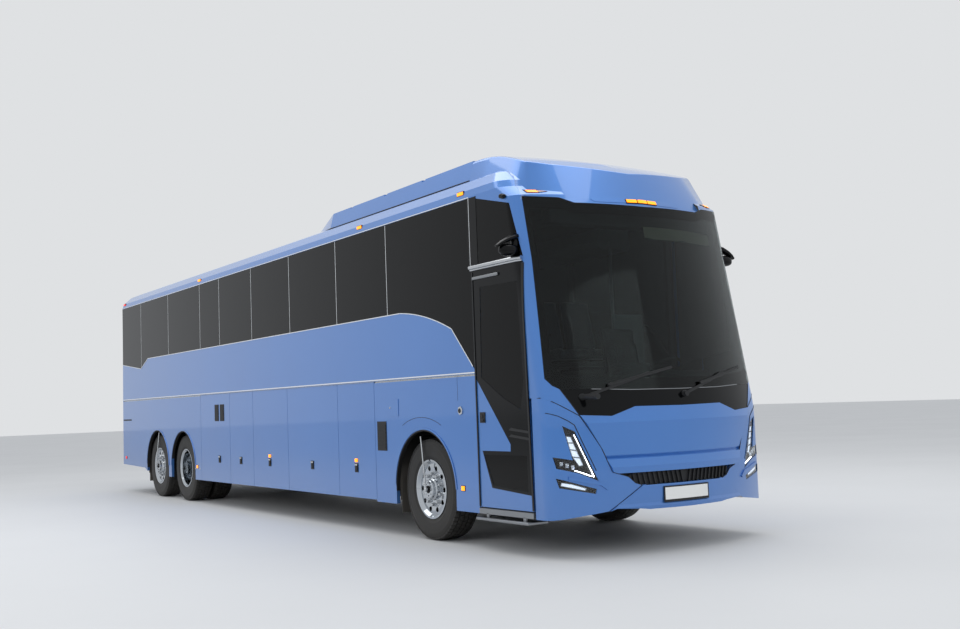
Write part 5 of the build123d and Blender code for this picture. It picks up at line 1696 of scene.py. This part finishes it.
@dataclass
class Upholstery:
    """Padded seats: cloth swollen over foam, with shells, legs and armrests.

    Attributes:
        rows: How many rows.
        pitch: Distance from one row to the next.
        first: Place and floor height of the first row.
        columns: Middles of the seats on one side.
        width: Width of one seat.
        cushion: Length and thickness of a cushion.
        back: Thickness and height of a back.
        lean: Lean of the back, in degrees.
        driver: Middle, place and floor height of the driver's seat.
        armrests: Middles of the armrests on one side.
    """

    rows: int = 13
    pitch: float = 0.85
    first: Pair = (-4.5, 1.5)
    columns: Pair = (0.466, 0.934)
    width: float = 0.44
    cushion: Pair = (0.4, 0.085)
    back: Pair = (0.075, 0.62)
    lean: float = 11.5
    driver: Point = (0.64, -5.62, 1.05)
    armrests: Pair = (0.236, 1.164)

    def swollen(self, shape: Shape, voxel: float, cap: float, fine: bool) -> Mesh:
        """Swell a shape as cloth over foam.

        Args:
            shape: The pad, drawn slightly too small.
            voxel: Cell of the remesh.
            cap: Farthest that a point may move.
            fine: Whether one subdivision follows.

        Returns:
            The pad's mesh.
        """
        scene = bpy.context.scene
        pad = bpy.data.objects.new("pad", shape.as_mesh())
        scene.collection.objects.link(pad)
        remesh = pad.modifiers.new("remesh", "REMESH")
        remesh.mode = "VOXEL"
        remesh.voxel_size = voxel
        pad.data = evaluated(pad)
        rest = [vert.co.copy() for vert in pad.data.vertices]
        cloth = pad.modifiers.new("cloth", "CLOTH")
        cloth.settings.use_pressure = True
        cloth.settings.uniform_pressure_force = 4.0
        cloth.settings.effector_weights.gravity = 0.0
        for frame_number in range(1, 21):
            scene.frame_set(frame_number)
        settled = evaluated(pad)
        scene.frame_set(1)
        for vert, start in zip(settled.vertices, rest):
            move = vert.co - start
            vert.co = start + move * min(1.0, cap / max(move.length, 1e-9))
        pad.data = settled
        if fine:
            pad.modifiers.new("fine", "SUBSURF").levels = 1
            pad.data = evaluated(pad)
        made = pad.data
        bpy.data.objects.remove(pad)
        return made

    def leaned(self, across: float, out: float, up: float) -> Vector:
        """Find a point of a leaning back.

        Args:
            across: Place across.
            out: Distance behind the back's face.
            up: Distance up along the back from its foot.

        Returns:
            The point.
        """
        angle = math.radians(self.lean)
        sine, cosine = math.sin(angle), math.cos(angle)
        return Vector((across, 0.2 + out * cosine + up * sine, 0.43 + up * cosine - out * sine))

    def cushion_pad(self, middle: float) -> Shape:
        """Draw one seat cushion with side bolsters, before it swells.

        Args:
            middle: Middle of the seat, across.

        Returns:
            The shape.
        """
        length, thick = self.cushion
        half, front, foot = self.width / 2 - 0.012, -0.24, 0.335
        turn = Matrix.Rotation(math.radians(-4), 3, "X")
        high = (middle + half, front + length, foot + thick)
        shape = Shape().block((middle - half, front, foot), high, 0.03, turn)
        for side in (-1, 1):
            edge = middle + side * (half - 0.035)
            shape.block((edge - 0.034, -0.225, 0.355), (edge + 0.034, 0.14, 0.44), 0.026, turn)
        return shape

    def back_pad(self, middle: float) -> Shape:
        """Draw one back with side bolsters and headrest, before it swells.

        Args:
            middle: Middle of the seat, across.

        Returns:
            The shape.
        """
        thick, tall = self.back
        half = self.width / 2 - 0.014
        spin = Matrix.Rotation(-math.radians(self.lean), 3, "X")
        shape = Shape()
        # Blocks of the back. Columns: half width, front, rear, foot, top, middle across.
        for half_wide, front, rear, foot, top, shift in (
            (half, 0.0, thick, 0.0, tall, 0.0), (0.034, -0.026, 0.03, 0.04, 0.44, half - 0.036),
            (0.034, -0.026, 0.03, 0.04, 0.44, 0.036 - half),
            (half - 0.035, -0.022, 0.03, tall - 0.155, tall - 0.01, 0.0),
        ):
            centre = self.leaned(middle + shift, (front + rear) / 2, (foot + top) / 2)
            reach = Vector((half_wide, (rear - front) / 2, (top - foot) / 2))
            shape.block(centre - reach, centre + reach, min(0.028, (rear - front) / 2.2), spin)
        return shape

    def stand(self, middles: Sequence[float]) -> Shape:
        """Draw shells, beams and legs under a row of seats.

        Args:
            middles: Middles of the seats, across.

        Returns:
            The shape.
        """
        shape = Shape()
        half = self.width / 2 - 0.006
        spin = Matrix.Rotation(-math.radians(self.lean), 3, "X")
        for middle in middles:
            centre = self.leaned(middle, self.back[0] + 0.022, 0.3)
            reach = Vector((half, 0.009, 0.3))
            shape.block(centre - reach, centre + reach, 0.008, spin)
            shape.block((middle - half, -0.235, 0.3), (middle + half, 0.15, 0.322), 0.008)
        low, high = min(middles) - half, max(middles) + half
        shape.block((low, -0.11, 0.252), (high, -0.06, 0.302), 0.004)
        shape.block((low, 0.04, 0.252), (high, 0.09, 0.302), 0.004)
        for leg in (low + 0.07, high - 0.11):
            shape.block((leg, -0.115, 0.004), (leg + 0.04, 0.095, 0.018), 0.003)
            shape.block((leg + 0.006, -0.04, 0.016), (leg + 0.034, 0.02, 0.254), 0.004)
        return shape

    def build(self) -> None:
        """Build all the seats."""
        place_y, floor = self.first
        spots = Pattern(self.rows, (0.0, self.pitch, 0.0), start=(0.0, place_y, floor))
        half = self.width / 2 - 0.075
        sewn = ((-half, 0.05), (-half, 0.43), (half, 0.43), (half, 0.05))
        for side, word in SIDES:
            middles = [side * middle for middle in self.columns]
            for name, pad in (("cushions", self.cushion_pad), ("backs", self.back_pad)):
                both = Shape()
                for middle in middles:
                    both.take(self.swollen(pad(middle), 0.027, 0.014, False))
                mesh = spots.spread(both.as_mesh(), MOQUETTE)
                made = settle(mesh, f"seat_{name}_{word}", MOQUETTE, stands_for=["seats"])
            arms, cords = self.stand(middles), Shape()
            for edge in self.armrests:
                arms.block((side * edge - 0.013, -0.12, 0.59), (side * edge + 0.013, 0.2, 0.62), 0.008)
            for middle in middles:
                cords.tube([self.leaned(middle + across, -0.018, up) for across, up in sewn], 0.004, 6)
            for shape, name, finish, slot in (
                (arms, "frames", GRAINED_BLACK, "dash_plastic"),
                (cords, "piping", LEATHERETTE, "seat_fabric"),
            ):
                settle(spots.spread(shape.as_mesh(), finish), f"seat_{name}_{word}", finish)
        driver_x, driver_y, driver_floor = self.driver
        one = Pattern(1, start=(driver_x, driver_y, driver_floor + 0.06))
        for name, pad in (("cushion", self.cushion_pad), ("back", self.back_pad)):
            mesh = one.spread(self.swollen(pad(0.0), 0.015, 0.016, True), LEATHERETTE)
            made = settle(mesh, f"driver_{name}", LEATHERETTE, stands_for=["seats"])
        base = self.stand([0.0]).block((-0.16, -0.17, -0.05), (0.16, 0.15, 0.02), 0.01)
        base.block((-0.06, -0.08, 0.0), (0.06, 0.06, 0.26), 0.02)
        settle(one.spread(base.as_mesh(), GRAINED_BLACK), "driver_seat_frame", GRAINED_BLACK)


@dataclass
class Cabin:
    """What shows through the windscreen: header, blind, racks, partition and the driver's controls.

    Attributes:
        header_z: Lower and upper edge of the header box.
        blind: Spans across and up of the driver's blind.
        rack: Inner and outer edge and the two heights of the luggage racks.
        rack_span: Their two ends.
        wheel: Middle of the steering wheel.
        wheel_axis: Direction of its axis.
    """

    header_z: Pair = (3.02, 3.165)
    blind: Span = (0.02, 1.09, 2.9, 3.02)
    rack: Span = (0.7, 1.18, 3.06, 3.29)
    rack_span: Pair = (-4.9, 6.45)
    wheel: Point = (0.64, -5.93, 1.64)
    wheel_axis: Point = (0.0, 0.55, 0.83)

    def linings(self) -> None:
        """Hang header, blind, racks and partition."""
        header, blind, racks = Shape(), Shape(), Shape()
        low, high = self.header_z
        header.block((-0.99, -6.33, low), (0.99, -6.18, high), 0.02)
        left, right, foot, _ = self.blind
        blind.clad(rectangle(*self.blind), FORM.front, -0.1, -0.096)
        run = (left, (left + right) / 2, right)
        header.tube([FORM.front(across, foot, -0.098) for across in run], 0.009, 10)
        inner, outer, foot, top = self.rack
        section = (
            (inner, foot + 0.07), (inner + 0.05, foot), (outer, foot - 0.02), (outer, top),
            (inner + 0.1, top),
        )
        for side, _ in SIDES:
            ends = [
                [racks.mesh.verts.new((across, place, up)) for across, up in mirrored(section, side)]
                for place in self.rack_span
            ]
            racks.bridge(ends)
            for end in ends:
                racks.mesh.faces.new(end)
            racks.block((side * 0.96 - 0.2, -5.105, 1.52), (side * 0.96 + 0.2, -5.08, 2.3), 0.01)
            racks.tube([(side * 0.74, -5.09, up) for up in (1.52, 2.55, 3.1)], 0.017, 12)
        header.piece("screen_header", SOFT_SKIN, "dash_plastic")
        blind.piece("driver_blind", BLIND_CLOTH, "dash_plastic")
        racks.piece("racks_and_partition", LINING, "dash_plastic")

    def controls(self) -> None:
        """Fit the binnacle, displays, column, stalks and switches, and the boss of the wheel."""
        x = self.wheel[0]
        hub, axis = Vector(self.wheel), Vector(self.wheel_axis).normalized()
        skin = Shape().blocks((
            ((x - 0.34, -6.3, 1.5), (x + 0.34, -6.085, 1.64), 0.035),
            ((-0.18, -6.27, 1.5), (0.2, -6.11, 1.72), 0.025),
            ((-0.46, -6.33, 1.49), (-0.24, -6.12, 1.56), 0.02),
        ))
        screens = Shape().blocks((
            ((x - 0.25, -6.086, 1.53), (x + 0.25, -6.08, 1.62), 0.002),
            ((-0.15, -6.112, 1.56), (0.17, -6.105, 1.7), 0.002),
        ))
        trim = Shape().lathe(((-0.26, 0.045), (-0.05, 0.05), (-0.03, 0.0)), hub, axis, 24)
        trim.lathe(((0.014, 0.062), (0.028, 0.056), (0.034, 0.04), (0.036, 0.0)), hub, axis, 28)
        for side in (-1, 1):
            trim.tube((hub - axis * 0.07, hub - axis * 0.06 + Vector((side * 0.19, -0.01, 0.02))), 0.009, 8)
        for at in range(3):
            trim.block((-0.42 + at * 0.055, -6.122, 1.506), (-0.385 + at * 0.055, -6.112, 1.54), 0.003)
        skin.piece("dash_cowls", SOFT_SKIN, "dash_plastic")
        screens.piece("dash_displays", DISPLAY, "dash_plastic")
        trim.piece("dash_controls", GRAINED_BLACK, "dash_plastic")

    def build(self) -> None:
        """Build the cabin's pieces."""
        self.linings()
        self.controls()


@dataclass
class RearDress:
    """Louvres, lamp rings, handle, seal and exhaust at the rear.

    Attributes:
        louvres: Spans across and up of the louvre field on the hatch.
        slats: How many slats.
        lamp_x: Middle of the tail lamps.
        lamp_rows: Heights and radii of a lamp's rings.
        lamp_edge: Outline of the joint round a lamp, as (across, up).
        joints: Heights of the joints across the rear.
        joint_half: Half their length.
        pipe: Section of the exhaust's end.
        pipe_run: The exhaust's way forward from there.
    """

    louvres: Span = (-0.56, 0.56, 1.02, 1.52)
    slats: int = 12
    lamp_x: float = 1.085
    lamp_rows: tuple[Pair, ...] = ((1.48, 0.052), (1.33, 0.052), (1.18, 0.052), (1.055, 0.04))
    lamp_edge: tuple[Pair, ...] = ((1.0, 0.95), (1.17, 0.99), (1.17, 1.56), (1.0, 1.6), (1.0, 0.95))
    joints: Pair = (2.347, 3.25)
    joint_half: float = 1.118
    pipe: tuple[Pair, ...] = ((-0.16, 0.05), (0.0, 0.05), (0.0, 0.046), (-0.16, 0.046))
    pipe_run: tuple[Point, ...] = (
        (0.83, 6.725, 0.43), (0.83, 6.6, 0.44), (0.78, 6.45, 0.52), (0.62, 6.3, 0.6),
    )

    def hatch(self) -> None:
        """Fit the engine hatch with louvres and a handle."""
        low, high, foot, top = self.louvres
        field = Shape().clad(rectangle(low, high, foot, top), FORM.back, 0.0005, 0.002)
        pitch = (top - foot - 0.03) / self.slats
        turn = Matrix.Rotation(math.radians(18), 3, "X")
        slat = Shape().block((low + 0.015, 0.0, -0.012), (high - 0.015, 0.004, 0.01), 0.0015, turn)
        start = (0.0, FORM.tail_y - 0.001, foot + 0.015 + pitch / 2)
        field.take(Pattern(self.slats, (0.0, 0.0, pitch), start=start).spread(slat.as_mesh(), GRAINED_BLACK))
        field.piece("hatch_louvres", GRAINED_BLACK, "black_plastic", "engine_hatch")
        handle = Shape().clad(rectangle(-0.1, 0.1, 0.8, 0.85), FORM.back, 0.0005, 0.003)
        handle.block((-0.07, FORM.tail_y + 0.001, 0.812), (0.07, FORM.tail_y + 0.006, 0.836), 0.002)
        handle.piece("hatch_handle", GRAINED_BLACK, "black_plastic", "engine_hatch")

    def build(self) -> None:
        """Build the rear's pieces."""
        self.hatch()
        rings, seal, lights = Shape(), Shape(), Shape()
        axis, tail = (0, 1, 0), FORM.tail_y
        for side, _ in SIDES:
            for height, radius in self.lamp_rows:
                spot = FORM.back(side * self.lamp_x, height, 0.0)
                steps = ((0.0, 0.0), (0.004, 0.003), (0.004, 0.01), (0.0, 0.013))
                rings.lathe([(out, radius - step) for out, step in steps], spot, axis, 32, closed=True)
                light = ((0.0, radius * 0.55), (0.003, radius * 0.5), (0.004, 0.0))
                lights.lathe(light, spot + Vector((0, 0.0004, 0)), axis, 24)
            seal.strip(mirrored(self.lamp_edge, side), FORM.back, 0.008, -0.002, 0.0014)
            low = (side * 0.98 - 0.05, tail - 0.004, 0.56)
            seal.block(low, (side * 0.98 + 0.05, tail + 0.002, 0.6), 0.001)
        for up in self.joints:
            seal.strip(((-self.joint_half, up), (self.joint_half, up)), FORM.back, 0.008, -0.002, 0.001)
        rings.piece("tail_lamp_rings", BRIGHT, "tail_lens")
        lights.piece("tail_lamp_lights", TAIL_LIGHT, "tail_lens")
        seal.piece("rear_joints", SEAL, "black_plastic")
        exhaust = Shape().lathe(self.pipe, (0.83, 6.88, 0.43), axis, 32, closed=True)
        exhaust.tube(self.pipe_run, 0.048, 16).piece("exhaust_tail", BRIGHT, "frame_steel")


@dataclass
class RoofDress:
    """Joint, grilles and hatches on the roof.

    Attributes:
        unit_joint: Joint where the cooling unit meets the roof, on one side.
        hatches: Places of the roof hatches.
        grilles: Places of the small grilles' front edges.
        fans: Places of the cooling unit's fans.
        fan: Section of a fan's ring.
        bar_pitch: Distance between the bars over a fan.
    """

    unit_joint: tuple[Point, ...] = ((1.064, -5.095, 3.64), (1.05, -1.8, 3.644), (0.945, -1.16, 3.664))
    hatches: Pair = (0.9, 4.7)
    grilles: Pair = (-1.05, -0.7)
    fans: Point = (-4.3, -3.5, -2.7)
    fan: tuple[Pair, ...] = ((0.0, 0.235), (0.012, 0.235), (0.018, 0.225), (0.018, 0.205), (0.0, 0.2))
    bar_pitch: float = 0.075

    def build(self) -> None:
        """Build the roof's pieces."""
        joint, black, lids = Shape(), Shape(), Shape()
        for side, _ in SIDES:
            joint.tube([(side * across, along, up) for across, along, up in self.unit_joint], 0.006, 8)
            for place in self.grilles:
                low = (side * 0.45 - 0.2, place, 3.66)
                black.block(low, (side * 0.45 + 0.2, place + 0.22, 3.676), 0.004)
        for place in self.hatches:
            lids.block((-0.4, place - 0.32, 3.658), (0.4, place + 0.32, 3.7), 0.022)
            black.block((-0.42, place - 0.34, 3.657), (0.42, place + 0.34, 3.672), 0.004)
        for place in self.fans:
            crown = 3.875 - 0.009 * (place + 5.1) / 3.3
            black.lathe(self.fan, (0.0, place, crown - 0.0162), (0, 0, 1), 40, closed=True)
            for bar in range(5):
                spot = (bar - 2) * self.bar_pitch
                reach, y = math.sqrt(0.21**2 - spot**2), place + spot
                black.block((-reach, y - 0.004, crown - 0.01), (reach, y + 0.004, crown + 0.0012))
        joint.piece("unit_joint", SEAL, "black_plastic")
        black.piece("roof_grilles", GRAINED_BLACK, "black_plastic")
        lids.piece("roof_hatches", SMOKED_LENS, "body_paint")


@dataclass
class Studio:
    """Camera, floor and soft lights.

    Attributes:
        place: Camera's place.
        yaw: Turn from +Y towards +X.
        pitch: Look upwards.
        roll: Tilt about the line of sight.
        focal_px: Focal length in pixels of a 960 pixel wide image.
        image_width: Width of that image in pixels.
        sensor: Sensor's width in mm.
        floor_half: Half the floor's side.
    """

    place: Point = (-7.1695, -14.5484, 1.3944)
    yaw: float = 0.5784
    pitch: float = 0.0781
    roll: float = -0.0373
    focal_px: float = 1122.87
    image_width: float = 960.0
    sensor: float = 36.0
    floor_half: float = 90.0

    def camera(self) -> None:
        """Create the camera at the photograph's viewpoint."""
        data = bpy.data.cameras.new("viewpoint")
        data.sensor_width = self.sensor
        data.lens = self.focal_px / self.image_width * self.sensor
        data.clip_end = 400.0
        made = bpy.data.objects.new("viewpoint", data)
        sine, cosine, climb = math.sin(self.yaw), math.cos(self.yaw), math.cos(self.pitch)
        ahead = Vector((sine * climb, cosine * climb, math.sin(self.pitch)))
        level = Vector((cosine, -sine, 0.0))
        upright = level.cross(ahead)
        right = level * math.cos(self.roll) + upright * math.sin(self.roll)
        above = upright * math.cos(self.roll) - level * math.sin(self.roll)
        turn = Matrix((right, above, -ahead)).transposed().to_4x4()
        made.matrix_world = Matrix.Translation(self.place) @ turn
        bpy.context.scene.collection.objects.link(made)
        bpy.context.scene.camera = made

    def floor(self) -> None:
        """Lay a pale floor that meets the background."""
        half = self.floor_half
        mesh = bpy.data.meshes.new("floor")
        mesh.from_pydata([(*corner, 0) for corner in rectangle(-half, half, -half, half)], [], [(0, 1, 2, 3)])
        made = bpy.data.objects.new("floor", mesh)
        bpy.context.scene.collection.objects.link(made)
        mesh.materials.append(CONCRETE.material())

    def lamp(self, name: str, place: Point, aim: Point, size: Pair, power: float, shiny: bool) -> None:
        """Hang one softbox.

        Args:
            name: Name of the lamp.
            place: Where it hangs.
            aim: Point that it faces.
            size: Its two sides.
            power: Its power in watts.
            shiny: Whether gloss shows it.
        """
        data = bpy.data.lights.new(name, "AREA")
        data.shape = "RECTANGLE"
        data.size, data.size_y = size
        data.energy = power
        made = bpy.data.objects.new(name, data)
        made.location = place
        made.rotation_mode = "QUATERNION"
        made.rotation_quaternion = (Vector(aim) - Vector(place)).to_track_quat("-Z", "Y")
        made.visible_glossy = shiny
        bpy.context.scene.collection.objects.link(made)

    def world(self) -> None:
        """Light the room evenly, with a pale backdrop for the camera, gloss and glass."""
        world = bpy.data.worlds.new("studio")
        bpy.context.scene.world = world
        world.use_nodes = True
        tree = world.node_tree
        tree.nodes.clear()
        path = add_node(tree, "ShaderNodeLightPath").outputs
        rays = {0: path["Is Camera Ray"], 1: path["Is Transmission Ray"]}
        seen = add_node(tree, "ShaderNodeMath", rays, operation="MAXIMUM")
        room = add_node(tree, "ShaderNodeBackground", {"Color": linear("#eef1f5"), "Strength": 0.85})
        backdrop = add_node(tree, "ShaderNodeBackground", {"Color": linear("#dfe1e3"), "Strength": 1.0})
        mixed = add_node(tree, "ShaderNodeMixShader", {0: seen, 1: room, 2: backdrop})
        add_node(tree, "ShaderNodeOutputWorld", {"Surface": mixed})

    def build(self) -> None:
        """Set up the studio."""
        bpy.context.scene.view_settings.view_transform = "Standard"
        self.camera()
        self.floor()
        self.world()
        self.lamp("overhead", (-1.0, -1.0, 11.0), (0.0, 0.0, 0.0), (18.0, 9.0), 900.0, True)
        self.lamp("kerbside", (-16.0, -6.0, 7.0), (0.0, 0.0, 1.6), (12.0, 5.0), 450.0, False)
        self.lamp("ahead", (3.0, -19.0, 6.0), (0.0, -6.0, 1.6), (9.0, 5.0), 300.0, False)


def main() -> None:
    """Build the coach's looks in order."""
    logging.basicConfig(level=logging.INFO, format="%(message)s")
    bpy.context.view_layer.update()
    Studio().build()
    FrameFinishes().dress()
    for part in (
        RoadWheel("front", -4.45, (0.0,), 0.104, 0.172, 0.066),
        RoadWheel("drive", 3.3, (0.0, -0.33), -0.132, -0.01, 0.062),
        RoadWheel("tag", 4.67, (0.0,), 0.104, 0.172, 0.066), Screen(), FrontLamps(), Markers(), Seams(),
        SideDress(), AirLines(), EntryDoorDress(), CameraPods(), Plates(), Upholstery(), Cabin(), RearDress(),
        RoofDress(),
    ):
        part.build()


if __name__ == "__main__":
    main()
